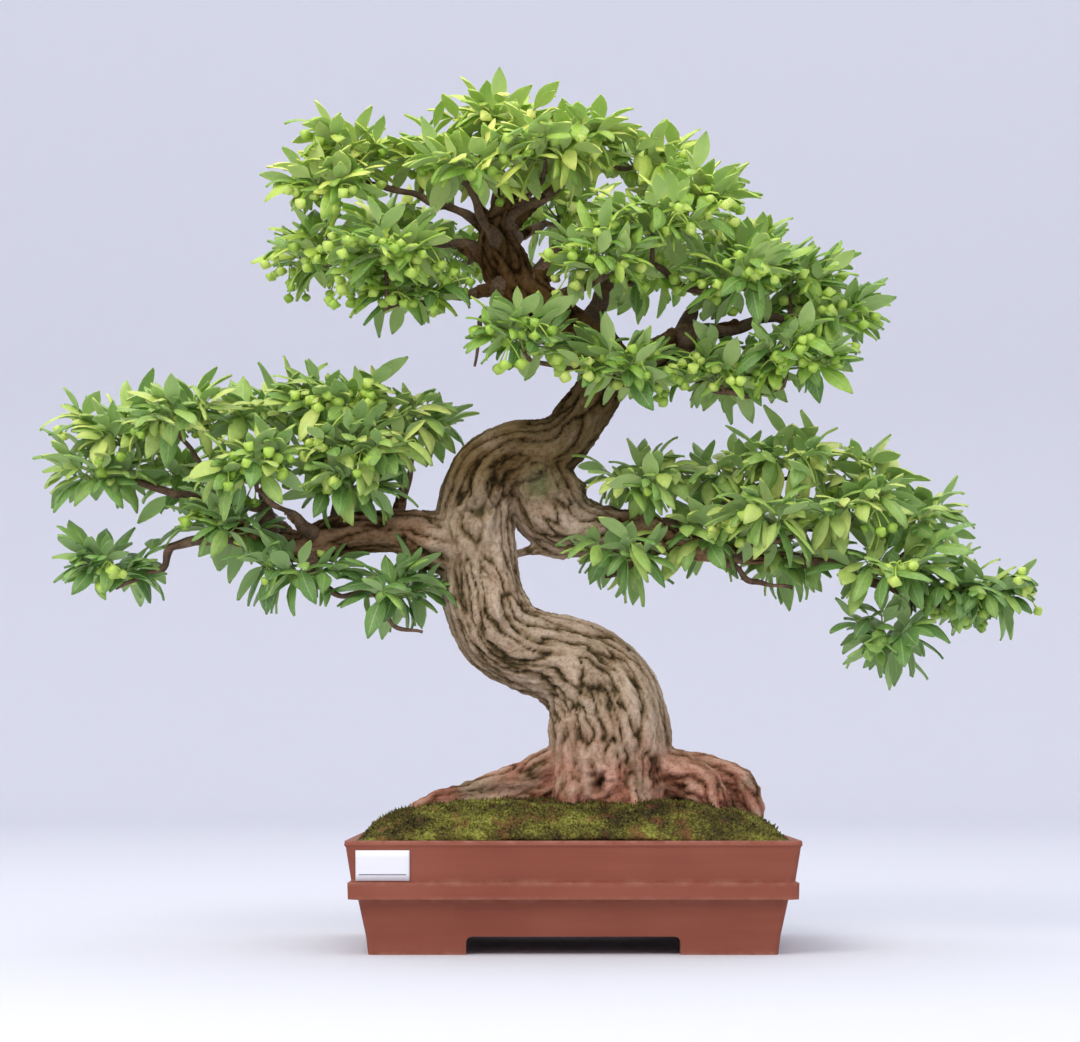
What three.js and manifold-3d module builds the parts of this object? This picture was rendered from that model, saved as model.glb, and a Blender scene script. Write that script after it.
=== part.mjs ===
// Burning bush bonsai in a rectangular unglazed pot. Millimetres, +Z up.
// x runs along the pot's long side and y from its front to its back. The tree is laid out from
// the middle of the pot's feet and then moved as a whole, so that the origin is at the middle
// of the tree's outer box, on the surface that the pot stands on.
import * as THREE from 'three';
import { mergeVertices } from 'three/addons/utils/BufferGeometryUtils.js';
import Module from 'manifold-3d';

const wasm = await Module();
wasm.setup();

// Driving dimensions
const clearance = 0.3;
const shortestEdge = 0.05;
const thinnestFace = 0.003;
const wallSlack = 0.35;
const depthLess = 65;
const potProfile = [
  [0, 191.5], [17, 193.5], [51, 200.5], [52, 209.5], [67, 210], [68, 206.5],
  [100, 211.5], [102, 213], [106, 212.5],
];
const cornerRadius = 6;
const potHeight = 106;
const footHeight = 17;
const floorTop = 26;
const cavity = { bottomHalf: 181, bottomDepthHalf: 118, topHalf: 203, topDepthHalf: 138, corner: 7 };
const foot = { wall: 20, frontGapHalf: 100, sideGapHalf: 58, gapCorner: 6 };
const drain = { x: 95, radius: 12, meshSide: 44, meshThickness: 1.6, holeSide: 14, holePitch: 19 };
const gritTop = 38;
const mound = {
  edge: 103, rise: 40, halfLength: 205, halfDepth: 142, lumps: 1.5, mossThickness: 5.5,
  columns: 7, rows: 5,
};
const card = { width: 50, height: 28.5, thickness: 0.6, x: -177, z: 83.4 };
const panel = { lowZ: 68, lowHalf: 206.5, highZ: 100, highHalf: 211.5 };

// Guide curves of the wood: x, y, z and radius of each point
const trunk = [
  [43, 2, 116, 56], [41, 0, 152, 60], [39, 0, 182, 61], [38, 0, 207, 60], [31, 0, 238, 57],
  [14, 0, 263, 51], [-9, -2, 278, 45], [-41, -5, 289, 41], [-69, -8, 303, 41],
  [-84, -10, 329, 41], [-90, -10, 356, 39], [-93, -9, 384, 38], [-95, -8, 414, 38],
  [-93, -6, 442, 37], [-81, -5, 466, 37], [-56, -3, 481, 36], [-29, 0, 488, 33],
  [-8, 0, 500, 29], [8, -2, 520, 26], [26, -4, 544, 24], [37, -5, 568, 23], [27, -5, 590, 24],
  [1, -4, 608, 25], [-28, -3, 628, 25], [-53, 0, 651, 25], [-67, 0, 680, 24], [-74, 0, 704, 19],
  [-71, 0, 728, 13], [-61, 0, 757, 9], [-49, 0, 787, 6], [-41, 0, 817, 4],
];
const leaderStart = 22;
const knob = [[35, -5, 560, 20], [69, 0, 578, 18], [97, 5, 590, 19], [111, 5, 599, 17]];
const rightLimb = [
  [-34, 0, 460, 34], [-19, 3, 432, 40], [1, 5, 415, 34], [33, 5, 410, 25], [75, 5, 406, 19],
  [119, 3, 393, 13], [164, 0, 384, 9], [219, 0, 380, 7], [259, 0, 375, 6], [291, 0, 364, 5],
  [334, 0, 339, 4], [384, 0, 330, 3], [424, 0, 322, 2.5],
];
const leftLimb = [
  [-101, -8, 386, 30], [-138, -8, 397, 29], [-176, -6, 406, 21], [-226, -5, 404, 21],
  [-271, -5, 392, 16], [-306, -5, 397, 12], [-336, -5, 412, 8], [-371, -3, 437, 6],
  [-411, 0, 452, 4], [-451, 0, 462, 3],
];
const roots = [
  [[-11, -5, 174, 20], [-66, -12, 158, 14], [-106, -20, 147, 11], [-139, -28, 139, 8],
    [-163, -36, 124, 5]],
  [[17, -12, 184, 28], [4, -32, 157, 22], [-5, -52, 124, 16]],
  [[44, -18, 180, 26], [51, -40, 152, 20], [59, -62, 120, 14]],
  [[77, 0, 174, 27], [107, -18, 164, 24], [131, -34, 150, 19], [145, -48, 122, 12]],
  [[97, 8, 168, 24], [141, 4, 162, 21], [166, 0, 152, 18], [181, -6, 120, 12]],
  [[29, 18, 174, 30], [19, 48, 150, 21], [7, 80, 118, 12]],
  [[69, 18, 174, 26], [91, 50, 150, 19], [113, 84, 118, 12]],
];
const crossStub = [[-63, 0, 384, 3], [-49, 0, 386, 4], [-31, 1, 391, 7], [-6, 3, 391, 12]];
const crownBranches = [
  [[-71, 0, 702, 8], [-101, -7, 727, 6.3], [-146, -13, 742, 4.7], [-201, -20, 757, 3]],
  [[-74, 0, 680, 8], [-121, 7, 702, 6.3], [-181, 13, 697, 4.7], [-226, 20, 687, 3]],
  [[-61, -10, 657, 7], [-106, -23, 642, 5.5], [-156, -37, 632, 4], [-186, -50, 622, 2.5]],
  [[-69, 0, 727, 9], [-74, 0, 767, 6], [-79, 0, 802, 3]],
  [[-66, 0, 717, 8], [-26, -13, 747, 6.3], [19, -13, 777, 4.7], [49, 0, 777, 3]],
  [[-43, -5, 650, 9], [-1, -9, 702, 7.5], [59, -12, 713, 6], [119, -16, 717, 4.5],
    [149, -20, 717, 3]],
  [[14, -8, 604, 8], [39, -21, 657, 6.8], [69, -34, 672, 5.5], [120, -47, 646, 4.2],
    [169, -60, 642, 3]],
  [[109, 4, 597, 8], [122, 9, 632, 6.3], [149, 15, 662, 4.7], [199, 20, 677, 3]],
  [[113, 4, 602, 9], [169, -19, 612, 7], [219, -20, 617, 5], [259, 0, 607, 3]],
  [[97, 2, 586, 6], [129, -12, 557, 4.8], [169, -26, 542, 3.7], [209, -40, 547, 2.5]],
  [[33, -16, 554, 5], [4, -60, 564, 3.8], [-41, -85, 567, 2.5]],
  [[-26, -14, 630, 6], [4, -65, 642, 4.2], [29, -100, 645, 2.5]],
  [[-53, 12, 670, 7], [-71, 70, 702, 5], [-111, 110, 702, 3]],
  [[-21, 12, 630, 7], [29, 70, 682, 5], [69, 105, 677, 3]],
  [[-68, 10, 702, 6], [-31, 70, 732, 4.5], [-11, 115, 742, 3]],
  [[-63, -5, 637, 4], [-82, -24, 620, 3.2], [-92, -30, 607, 2.4], [-96, -32, 569, 1.6]],
];
const leftBranches = [
  [[-231, -5, 402, 7], [-226, -5, 462, 5], [-221, -5, 502, 3]],
  [[-301, -5, 397, 7], [-308, -3, 452, 5], [-313, -2, 485, 3.5]],
  [[-286, -8, 390, 8], [-336, -11, 397, 6.6], [-391, -14, 394, 5.2], [-411, -17, 367, 3.9],
    [-451, -20, 350, 2.5]],
  [[-261, -12, 390, 6], [-253, -18, 357, 5.2], [-221, -23, 344, 4.4], [-196, -29, 340, 3.6],
    [-174, -34, 310, 2.8], [-146, -40, 305, 2]],
  [[-176, 0, 412, 6], [-166, 8, 462, 4.2], [-159, 15, 497, 2.5]],
  [[-271, 0, 394, 6], [-311, 50, 432, 4.5], [-371, 70, 452, 3]],
  [[-251, -8, 397, 6], [-281, -50, 422, 4.2], [-306, -70, 442, 2.5]],
];
const rightBranches = [
  [[84, 6, 410, 7], [129, 8, 420, 6], [191, 10, 418, 5], [267, 13, 414, 4], [319, 15, 422, 3]],
  [[149, 6, 418, 4.5], [169, 6, 447, 3.5], [219, 6, 462, 2.5]],
  [[129, 0, 392, 4.5], [164, -7, 370, 3.7], [181, -13, 357, 2.8], [219, -20, 350, 2]],
  [[334, 0, 339, 3.8], [327, -6, 312, 3.1], [314, -12, 287, 2.5]],
  [[291, 0, 364, 4], [334, 10, 382, 3.2], [364, 20, 402, 2.5]],
  [[69, -4, 397, 5], [54, -7, 372, 3.8], [34, -10, 362, 2.5]],
  [[164, -2, 385, 5], [194, -40, 394, 3.8], [229, -60, 397, 2.5]],
  [[77, 4, 410, 5], [74, 2, 434, 3.8], [69, 0, 442, 2.5]],
];

// Leafy sprays: number, then the middle of the spray in x, y and z
const crownSprays = [
  [1, -71, -10, 812], [2, 4, -30, 802], [4, -222, -22, 772], [5, 69, 10, 762],
  [7, 129, -30, 732], [9, -241, -50, 717], [10, -251, 20, 662], [12, -171, -30, 622],
  [13, 174, 40, 692], [15, 266, 8, 600], [16, 169, -70, 622], [18, 29, -110, 642],
  [19, -51, -90, 562], [22, 219, -60, 572], [23, -121, 110, 682], [24, -11, 120, 732],
  [25, 89, 110, 662],
];
const leftSprays = [
  [31, -451, 0, 512], [33, -316, 0, 527], [35, -161, 10, 512], [36, -471, -10, 437],
  [38, -311, -70, 452], [40, -461, -20, 357], [42, -271, -30, 342],
];
const rightSprays = [
  [51, 69, -20, 442], [53, 219, -30, 462], [57, 349, 20, 412], [58, 49, -10, 357],
  [59, 309, -40, 342], [61, 419, 0, 312], [62, 309, -20, 282],
];
// Sprays that carry a bunch of capsules, and the shoot that it hangs from
const fruiting = new Map([[1, 0], [7, 0], [10, 1], [15, 0], [19, 0], [38, 0], [61, 0]]);

// Growth of a spray
const goldenAngle = 2.399963;
const shortestTwig = 10;
const twigShare = 0.75;
const twigSag = 0.1;
const twigRadius = { foot: 2.6, end: 1.8 };
const upwardPull = 18;
const stemLength = 6;
const stemGap = 1.5;
const shootStep = 0.6;
const shootClimb = 6;
const shootReach = 34;
const shootRise = 20;
const shootRadius = 1.6;
const shootSpread = { least: 0.85, range: 0.3 };
const shootBend = { along: 0.6, rise: 0.25 };
const leastSetOff = 0.05;
const shootHeights = [0.35, 0.1, 0.8, -0.2, 0.55, 0, -0.35, 0.7];
const pairPlaces = [0.9, 0.66, 0.42];
const pairOpening = [0.85, 1.05, 1.2];
const tipOpening = 0.25;
const leafLength = 38;
const leafRoot = { half: 0.9, rise: 0.5, keel: 0.7 };
const leafSink = 0.6;
const leafSections = [{ at: 0.34, half: 7 }, { at: 0.68, half: 5.6 }];
const leafRise = 0.6;
const leafKeel = 1;
const leafLift = 0.2;
const leafOutward = 0.15;
const leafSag = { least: 0.5, range: 0.9 };
const tipLeafShare = 0.9;
const variation = { turn: 0.8, opening: 0.4, roll: 0.8, length: 0.4 };
const shootsPerSpray = 3;
const leavesPerSpray = 8;
const capsule = { lobe: 6.4, shoulder: 2.2, waist: 7.5, depth: 10.5, count: 3 };
const stalkRadius = 0.85;
const bunch = { place: 0.55, reach: 16, fall: 6, spread: 9, spreadRange: 3, drop: 13, dropRange: 9 };

const colours = {
  pot: 0x9a5548, card: 0xf2f2f0, mesh: 0x3a3f3a, grit: 0x8d8577, soil: 0x4a3828,
  moss: 0x56601f, wood: 0x8a7461, leaf: 0x7ea63a, fruit: 0xb9cf4f,
};

// Solids from points

// A closed mesh as a solid that can be joined and cut
function toSolid(positions, triangles) {
  return new wasm.Manifold(new wasm.Mesh({
    numProp: 3,
    vertProperties: new Float32Array(positions),
    triVerts: new Uint32Array(triangles),
  }));
}

// Rings of equal size joined one to the next. Each end is flat, or closes on a tip if given.
function ringSolid(rings, endTip, startTip) {
  const size = rings[0].length;
  const points = rings.flat();
  const triangles = [];
  for (let i = 0; i + 1 < rings.length; i++) {
    for (let j = 0; j < size; j++) {
      const a = i * size + j;
      const b = i * size + (j + 1) % size;
      triangles.push(a, b, b + size, a, b + size, a + size);
    }
  }
  const last = (rings.length - 1) * size;
  for (let j = 1; j + 1 < size; j++) {
    if (!startTip) triangles.push(0, j + 1, j);
    if (!endTip) triangles.push(last, last + j, last + j + 1);
  }
  for (const [tip, from, forward] of [[endTip, last, true], [startTip, 0, false]]) {
    if (!tip) continue;
    points.push(tip);
    for (let j = 0; j < size; j++) {
      const a = from + j;
      const b = from + (j + 1) % size;
      triangles.push(points.length - 1, forward ? a : b, forward ? b : a);
    }
  }
  return toSolid(points.flatMap((p) => [p.x, p.y, p.z]), triangles);
}

// A three.js geometry as a solid
function geometrySolid(geometry) {
  const bare = new THREE.BufferGeometry();
  bare.setAttribute('position', geometry.getAttribute('position'));
  bare.setIndex(geometry.index);
  const merged = mergeVertices(bare, 1e-4);
  return toSolid(merged.attributes.position.array, merged.index.array);
}

// The largest body of a solid, without the scraps that a cut leaves
function mainBody(solid) {
  const bodies = solid.decompose();
  return bodies.reduce((best, body) => (body.volume() > best.volume() ? body : best));
}

const joined = (solids) => wasm.Manifold.union(solids);

// The points and faces of a solid, with the two ends of each very short edge made one point.
// An edge whose ends share more than two neighbours stays, because the surface would pinch there.
function cleanMesh(solid) {
  const { numProp, vertProperties, triVerts } = solid.getMesh();
  const points = [];
  for (let i = 0; i < vertProperties.length; i += numProp) {
    points.push(new THREE.Vector3().fromArray(vertProperties, i));
  }
  let faces = [];
  for (let i = 0; i < triVerts.length; i += 3) faces.push([...triVerts.subarray(i, i + 3)]);
  const around = (corner) => new Set(faces.filter((face) => face.includes(corner)).flat());
  const mayMerge = (a, b) => {
    if (points[a].distanceTo(points[b]) > shortestEdge) return false;
    const others = around(b);
    return [...around(a)].filter((corner) => others.has(corner)).length === 4;
  };
  for (let k = 0; k < faces.length; k++) {
    const edge = [0, 1, 2].find((i) => mayMerge(faces[k][i], faces[k][(i + 1) % 3]));
    if (edge === undefined) continue;
    const [kept, gone] = [faces[k][edge], faces[k][(edge + 1) % 3]];
    faces = faces.map((face) => face.map((corner) => (corner === gone ? kept : corner)))
      .filter((face) => new Set(face).size === 3);
    k = -1;
  }
  flipThinFaces(points, faces);
  return { positions: points.flatMap((p) => p.toArray()), faces: faces.flat() };
}

// A face whose third corner lies almost on its longest edge shares that edge with a neighbour.
// The edge is turned to join that corner to the neighbour's far corner.
function flipThinFaces(points, faces) {
  for (let k = 0; k < faces.length; k++) {
    const edges = [0, 1, 2].map((i) => [faces[k][i], faces[k][(i + 1) % 3], faces[k][(i + 2) % 3]]);
    const lengths = edges.map(([a, b]) => points[a].distanceTo(points[b]));
    const longest = Math.max(...lengths);
    const [a, b, c] = edges[lengths.indexOf(longest)];
    const across = points[b].clone().sub(points[a]).cross(points[c].clone().sub(points[a]));
    if (across.length() / longest > thinnestFace) continue;
    const other = faces.findIndex((face) => face.some((v, i) => v === b && face[(i + 1) % 3] === a));
    const d = faces[other].find((corner) => corner !== a && corner !== b);
    if (faces.some((face) => face.includes(c) && face.includes(d))) continue;
    faces[k] = [a, d, c];
    faces[other] = [d, b, c];
  }
}

// Points on guide curves

// Catmull-Rom curve through points of any dimension, ends continued in a straight line
function curveAt(points, u) {
  const last = points.length - 1;
  const i = Math.min(Math.floor(u), last - 1);
  const t = u - i;
  const p1 = points[i];
  const p2 = points[i + 1];
  const p0 = i > 0 ? points[i - 1] : p1.map((v, k) => 2 * v - p2[k]);
  const p3 = i + 2 <= last ? points[i + 2] : p2.map((v, k) => 2 * v - p1[k]);
  return p1.map((v, k) => v + 0.5 * t * (p2[k] - p0[k]
    + t * (2 * p0[k] - 5 * v + 4 * p2[k] - p3[k] + t * (3 * (v - p2[k]) + p3[k] - p0[k]))));
}

const vector = (p) => new THREE.Vector3(p[0], p[1], p[2]);

// A tube along a guide curve. The rings lean with the curve as seen over `reach` rings each
// way, so that they never cross on the inside of a bend.
function sweep(path, { sides, rings, reach = 1, relief = 0, grow = 0 }) {
  const samples = [];
  for (let i = 0; i < rings; i++) {
    samples.push(curveAt(path, (path.length - 1) * i / (rings - 1)));
  }
  const centres = samples.map(vector);
  const normal = new THREE.Vector3(0, 1, 0);
  let along = 0;
  let tangent;
  const tube = centres.map((centre, i) => {
    const before = centres[Math.max(i - reach, 0)];
    const after = centres[Math.min(i + reach, rings - 1)];
    tangent = after.clone().sub(before).normalize();
    normal.addScaledVector(tangent, -normal.dot(tangent)).normalize();
    const side = tangent.clone().cross(normal);
    if (i > 0) along += centre.distanceTo(centres[i - 1]);
    const ring = [];
    for (let j = 0; j < sides; j++) {
      const angle = 2 * Math.PI * j / sides;
      const radius = samples[i][3] * (1 + relief * ridge(angle, along)) + grow;
      ring.push(centre.clone()
        .addScaledVector(normal, radius * Math.cos(angle))
        .addScaledVector(side, radius * Math.sin(angle)));
    }
    return ring;
  });
  const end = centres[rings - 1].clone()
    .addScaledVector(tangent, 0.45 * samples[rings - 1][3] + grow);
  return ringSolid(tube, end);
}

// Height of the bark over its mean, from ridges that wander along the limb
function ridge(angle, along) {
  return 0.6 * Math.sin(5 * angle + 1.8 * Math.sin(along / 45))
    + 0.4 * Math.sin(3 * angle - along / 60 + 2);
}

// A number from 0 to 1 that depends only on its two keys
function scatter(i, k) {
  const value = Math.sin(i * 12.9898 + k * 78.233) * 43758.5453;
  return value - Math.floor(value);
}

// The pot and what fills it

// Rectangle with rounded corners, counter-clockwise seen from above
function roundedRing(half, depthHalf, radius, z) {
  const ring = [];
  const steps = 2;
  for (const [sx, sy, start] of [[1, 1, 0], [-1, 1, 1], [-1, -1, 2], [1, -1, 3]]) {
    for (let k = 0; k <= steps; k++) {
      const angle = (start + k / steps) * Math.PI / 2;
      ring.push(new THREE.Vector3(
        sx * (half - radius) + radius * Math.cos(angle),
        sy * (depthHalf - radius) + radius * Math.sin(angle),
        z,
      ));
    }
  }
  return ring;
}

// The room inside the pot between two heights, drawn in by `slack` from its walls
function room(lowZ, highZ, slack) {
  const ringAt = (z) => {
    const t = (z - floorTop) / (potHeight - floorTop);
    return roundedRing(
      THREE.MathUtils.lerp(cavity.bottomHalf, cavity.topHalf, t) - slack,
      THREE.MathUtils.lerp(cavity.bottomDepthHalf, cavity.topDepthHalf, t) - slack,
      cavity.corner,
      z,
    );
  };
  return ringSolid([ringAt(lowZ), ringAt(highZ)]);
}

// A slot with rounded upper corners, open below, run straight through the pot's feet
function footSlot(halfWidth, quarterTurn) {
  const radius = foot.gapCorner;
  const outline = new THREE.Shape();
  outline.moveTo(-halfWidth, -1);
  outline.lineTo(halfWidth, -1);
  outline.lineTo(halfWidth, footHeight - radius);
  outline.absarc(halfWidth - radius, footHeight - radius, radius, 0, Math.PI / 2);
  outline.absarc(radius - halfWidth, footHeight - radius, radius, Math.PI / 2, Math.PI);
  const run = 600;
  const geometry = new THREE.ExtrudeGeometry(outline, {
    depth: run, bevelEnabled: false, curveSegments: 2,
  });
  geometry.translate(0, 0, -run / 2);
  geometry.rotateX(Math.PI / 2);
  if (quarterTurn) geometry.rotateZ(Math.PI / 2);
  return geometrySolid(geometry);
}

function block(width, depth, height, x, y, z) {
  return geometrySolid(new THREE.BoxGeometry(width, depth, height).translate(x, y, z));
}

function buildPot() {
  const rings = potProfile.map(([z, half]) => roundedRing(half, half - depthLess, cornerRadius, z));
  const underHalf = potProfile[0][1] - foot.wall;
  const under = ringSolid([-1, footHeight].map((z) => (
    roundedRing(underHalf, underHalf - depthLess, cornerRadius, z)
  )));
  const cuts = [
    room(floorTop, potHeight + 1, 0), under,
    footSlot(foot.frontGapHalf, false), footSlot(foot.sideGapHalf, true),
  ];
  for (const x of [-drain.x, drain.x]) {
    const hole = new THREE.CylinderGeometry(drain.radius, drain.radius, floorTop, 12);
    cuts.push(geometrySolid(hole.rotateX(Math.PI / 2).translate(x, 0, footHeight)));
  }
  return ringSolid(rings).subtract(joined(cuts));
}

function buildDrainMesh(x) {
  const z = floorTop + clearance + drain.meshThickness / 2;
  const holes = [];
  for (const i of [-0.5, 0.5]) {
    for (const j of [-0.5, 0.5]) {
      const side = drain.holeSide;
      holes.push(block(side, side, 10, x + i * drain.holePitch, j * drain.holePitch, z));
    }
  }
  return block(drain.meshSide, drain.meshSide, drain.meshThickness, x, 0, z)
    .subtract(joined(holes));
}

function buildGrit() {
  const side = drain.meshSide + 2 * clearance;
  const height = 2 * (drain.meshThickness + clearance);
  const pockets = [-drain.x, drain.x].map((x) => (
    block(side, side, height, x, 0, floorTop + clearance)
  ));
  return room(floorTop + clearance, gritTop, wallSlack).subtract(joined(pockets));
}

// Height of the moss mound, which falls away to the rim on all four sides
function moundHeight(x, y) {
  const along = Math.max(0, 1 - Math.abs(x / mound.halfLength) ** 4) ** 0.65;
  const across = Math.max(0, 1 - Math.abs(y / mound.halfDepth) ** 3.5) ** 0.75;
  return mound.edge + mound.rise * along * across
    + mound.lumps * Math.sin(x / 31 + 1) * Math.cos(y / 27);
}

// A block under the mound's surface, `less` lower than it, with a flat or an even underside
function moundBlock(less, flatZ, thickness) {
  const { columns, rows } = mound;
  const top = [];
  const bottom = [];
  for (let j = 0; j <= rows; j++) {
    for (let i = 0; i <= columns; i++) {
      const x = (2 * i / columns - 1) * (cavity.topHalf + 2);
      const y = (2 * j / rows - 1) * (cavity.topDepthHalf + 2);
      const z = moundHeight(x, y) - less;
      top.push(x, y, z);
      bottom.push(x, y, thickness ? z - thickness : flatZ);
    }
  }
  const under = top.length / 3;
  const triangles = [];
  const quad = (a, b, c, d) => triangles.push(a, b, c, a, c, d);
  for (let j = 0; j < rows; j++) {
    for (let i = 0; i < columns; i++) {
      const a = j * (columns + 1) + i;
      const d = a + columns + 1;
      quad(a, a + 1, d + 1, d);
      quad(under + a, under + d, under + d + 1, under + a + 1);
    }
  }
  for (let i = 0; i < columns; i++) {
    const far = rows * (columns + 1) + i;
    quad(under + i, under + i + 1, i + 1, i);
    quad(far, far + 1, under + far + 1, under + far);
  }
  for (let j = 0; j < rows; j++) {
    const near = j * (columns + 1);
    const next = near + columns + 1;
    quad(under + next, under + near, near, next);
    quad(under + near + columns, under + next + columns, next + columns, near + columns);
  }
  return toSolid([...top, ...bottom], triangles);
}

function buildSoil(woodClear) {
  const low = gritTop + clearance;
  const block = moundBlock(mound.mossThickness + clearance, low - 1);
  return mainBody(block.intersect(room(low, 200, wallSlack)).subtract(woodClear));
}

function buildMoss(woodClear) {
  const skin = moundBlock(0, 0, mound.mossThickness);
  return mainBody(skin.intersect(room(floorTop, 200, wallSlack)).subtract(woodClear));
}

// The card stands on the pot's upper panel, which leans out towards the rim
function buildCard() {
  const lean = Math.atan2(panel.highHalf - panel.lowHalf, panel.highZ - panel.lowZ);
  const t = (card.z - panel.lowZ) / (panel.highZ - panel.lowZ);
  const face = depthLess - THREE.MathUtils.lerp(panel.lowHalf, panel.highHalf, t);
  const geometry = new THREE.BoxGeometry(card.width, card.thickness, card.height);
  geometry.translate(0, -(card.thickness / 2 + clearance), 0);
  geometry.rotateX(lean);
  return geometrySolid(geometry.translate(card.x, face, card.z));
}

// Wood

// Where a spray's own twig leaves the nearest branch, and the foot of its green stem
const branches = [...crownBranches, ...leftBranches, ...rightBranches];
const carriers = [...branches, trunk.slice(leaderStart), leftLimb.slice(3), rightLimb.slice(4)];

function nearestOnBranches(centre) {
  const stepsPerSpan = 8;
  let best = null;
  for (const path of carriers) {
    const steps = (path.length - 1) * stepsPerSpan;
    for (let k = 0; k <= steps; k++) {
      const point = vector(curveAt(path, k / stepsPerSpan));
      const distance = point.distanceTo(centre);
      if (!best || distance < best.distance) best = { point, distance, path, atEnd: k === steps };
    }
  }
  return best;
}

const bezier = (a, b, c, t) => a.clone().multiplyScalar((1 - t) ** 2)
  .addScaledVector(b, 2 * t * (1 - t)).addScaledVector(c, t * t);

function sprayFrame([number, x, y, z]) {
  const centre = new THREE.Vector3(x, y, z);
  const { point: branch, path, atEnd } = nearestOnBranches(centre);
  const away = centre.clone().sub(branch);
  const reach = Math.max(shortestTwig, twigShare * away.length() - stemLength);
  away.z += upwardPull;
  const stemFoot = branch.clone().addScaledVector(away.normalize(), reach);
  const middle = branch.clone().lerp(stemFoot, 0.5);
  middle.z -= twigSag * reach;
  const direction = stemFoot.clone().sub(middle).normalize();
  centre.z = Math.max(centre.z, stemFoot.z + stemLength + shootClimb);
  return { number, centre, branch, path, atEnd, middle, stemFoot, direction };
}

function twigPath({ branch, middle, stemFoot }) {
  return [0, 0.5, 1].map((t) => {
    const p = bezier(branch, middle, stemFoot, t);
    return [p.x, p.y, p.z, THREE.MathUtils.lerp(twigRadius.foot, twigRadius.end, t)];
  });
}

function buildWood(sprays, grow) {
  const limbs = [
    sweep(trunk, { sides: 13, rings: 41, reach: 2, relief: 0.05, grow }),
    sweep(knob, { sides: 9, rings: 5, relief: 0.06, grow }),
    sweep(rightLimb, { sides: 8, rings: 16, relief: 0.05, grow }),
    sweep(leftLimb, { sides: 8, rings: 13, relief: 0.05, grow }),
    sweep(crossStub, { sides: 5, rings: 3, grow }),
  ];
  for (const root of roots) limbs.push(sweep(root, { sides: 6, rings: 4, relief: 0.06, grow }));
  const twigs = new Map();
  for (const spray of sprays) {
    const runsOn = spray.atEnd && branches.includes(spray.path) && !twigs.has(spray.path);
    if (runsOn) twigs.set(spray.path, spray);
    else limbs.push(sweep(twigPath(spray), { sides: 3, rings: 3, grow }));
  }
  for (const branch of branches) {
    const tail = twigs.has(branch) ? twigPath(twigs.get(branch)).slice(1) : [];
    const path = [...branch, ...tail];
    limbs.push(sweep(path, { sides: 4, rings: path.length, grow }));
  }
  return mainBody(joined(limbs));
}

// Green growth

const up = new THREE.Vector3(0, 0, 1);

// The curve of one green shoot, from its place on the stem out and then up to its tip
function shootCurve(spray, j) {
  const azimuth = goldenAngle * j + 2 * Math.PI * scatter(spray.number, 1);
  const height = shootHeights[j];
  const spread = shootSpread.least + shootSpread.range * scatter(spray.number, 10 + j);
  const flat = Math.sqrt(1 - height * height) * spread;
  const start = spray.stemFoot.clone()
    .addScaledVector(spray.direction, stemLength - shootStep * j);
  const tip = spray.centre.clone().add(new THREE.Vector3(
    shootReach * flat * Math.cos(azimuth),
    shootReach * flat * Math.sin(azimuth),
    shootRise * height,
  ));
  const bend = start.clone().lerp(tip, shootBend.along);
  bend.z = THREE.MathUtils.lerp(start.z, tip.z, shootBend.rise);
  return { at: (t) => bezier(start, bend, tip, t), number: spray.number, j };
}

// The three corners of a leaf's or shoot's section, two on its upper side and one below
function section(centre, side, over, half, rise, keel) {
  return [
    centre.clone().addScaledVector(side, half).addScaledVector(over, rise),
    centre.clone().addScaledVector(side, -half).addScaledVector(over, rise),
    centre.clone().addScaledVector(over, -keel),
  ];
}

// One leaf: its root, the way it sets off, its upper side, its length and its sag.
// A pair has two leaves on opposite sides of the shoot, and each pair stands across the last.
function leafFrame(shoot, pair, hand, droop) {
  const key = 100 + 20 * shoot.j + 2 * pair + hand;
  const random = (n) => scatter(shoot.number + 70 * n, key);
  const either = (n) => random(n) - 0.5;
  const atTip = pair < 0;
  const place = atTip ? 1 : pairPlaces[pair];
  const root = shoot.at(place);
  const tangent = root.clone().sub(shoot.at(place - 0.04)).normalize();
  const flat = up.clone().cross(tangent).normalize();
  const lift = tangent.clone().cross(flat);
  const turn = pair * Math.PI / 2 + hand * Math.PI + variation.turn * either(1)
    + 2 * Math.PI * scatter(shoot.number, 40 + shoot.j);
  const radial = flat.multiplyScalar(Math.cos(turn)).addScaledVector(lift, Math.sin(turn));
  const opening = (atTip ? tipOpening : pairOpening[pair]) + variation.opening * either(2);
  const direction = tangent.clone().multiplyScalar(Math.cos(opening))
    .addScaledVector(radial, Math.sin(opening));
  direction.z += leafLift - droop;
  direction.normalize();
  const normal = up.clone().addScaledVector(radial, leafOutward);
  normal.addScaledVector(direction, -normal.dot(direction)).normalize();
  normal.applyAxisAngle(direction, variation.roll * either(3));
  const length = leafLength * (1 + variation.length * either(4)) * (atTip ? tipLeafShare : 1);
  return { root, direction, normal, length, sag: leafSag.least + leafSag.range * random(5) };
}

// The leaf's sections from near its root to near its tip, and the tip. The midrib is an arc
// that turns down by the sag over the leaf's length.
function leafShape({ root, direction, normal, length, sag }, grow) {
  const side = normal.clone().cross(direction);
  const midrib = (t) => root.clone()
    .addScaledVector(direction, length * Math.sin(sag * t) / sag)
    .addScaledVector(normal, -length * (1 - Math.cos(sag * t)) / sag);
  const sections = leafSections.map(({ at, half }) => {
    const over = normal.clone().multiplyScalar(Math.cos(sag * at))
      .addScaledVector(direction, Math.sin(sag * at));
    const halfWidth = half * length / leafLength + grow;
    return section(midrib(at), side, over, halfWidth, leafRise + grow, leafKeel + grow);
  });
  return { side, sections, tip: midrib(1) };
}

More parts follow.
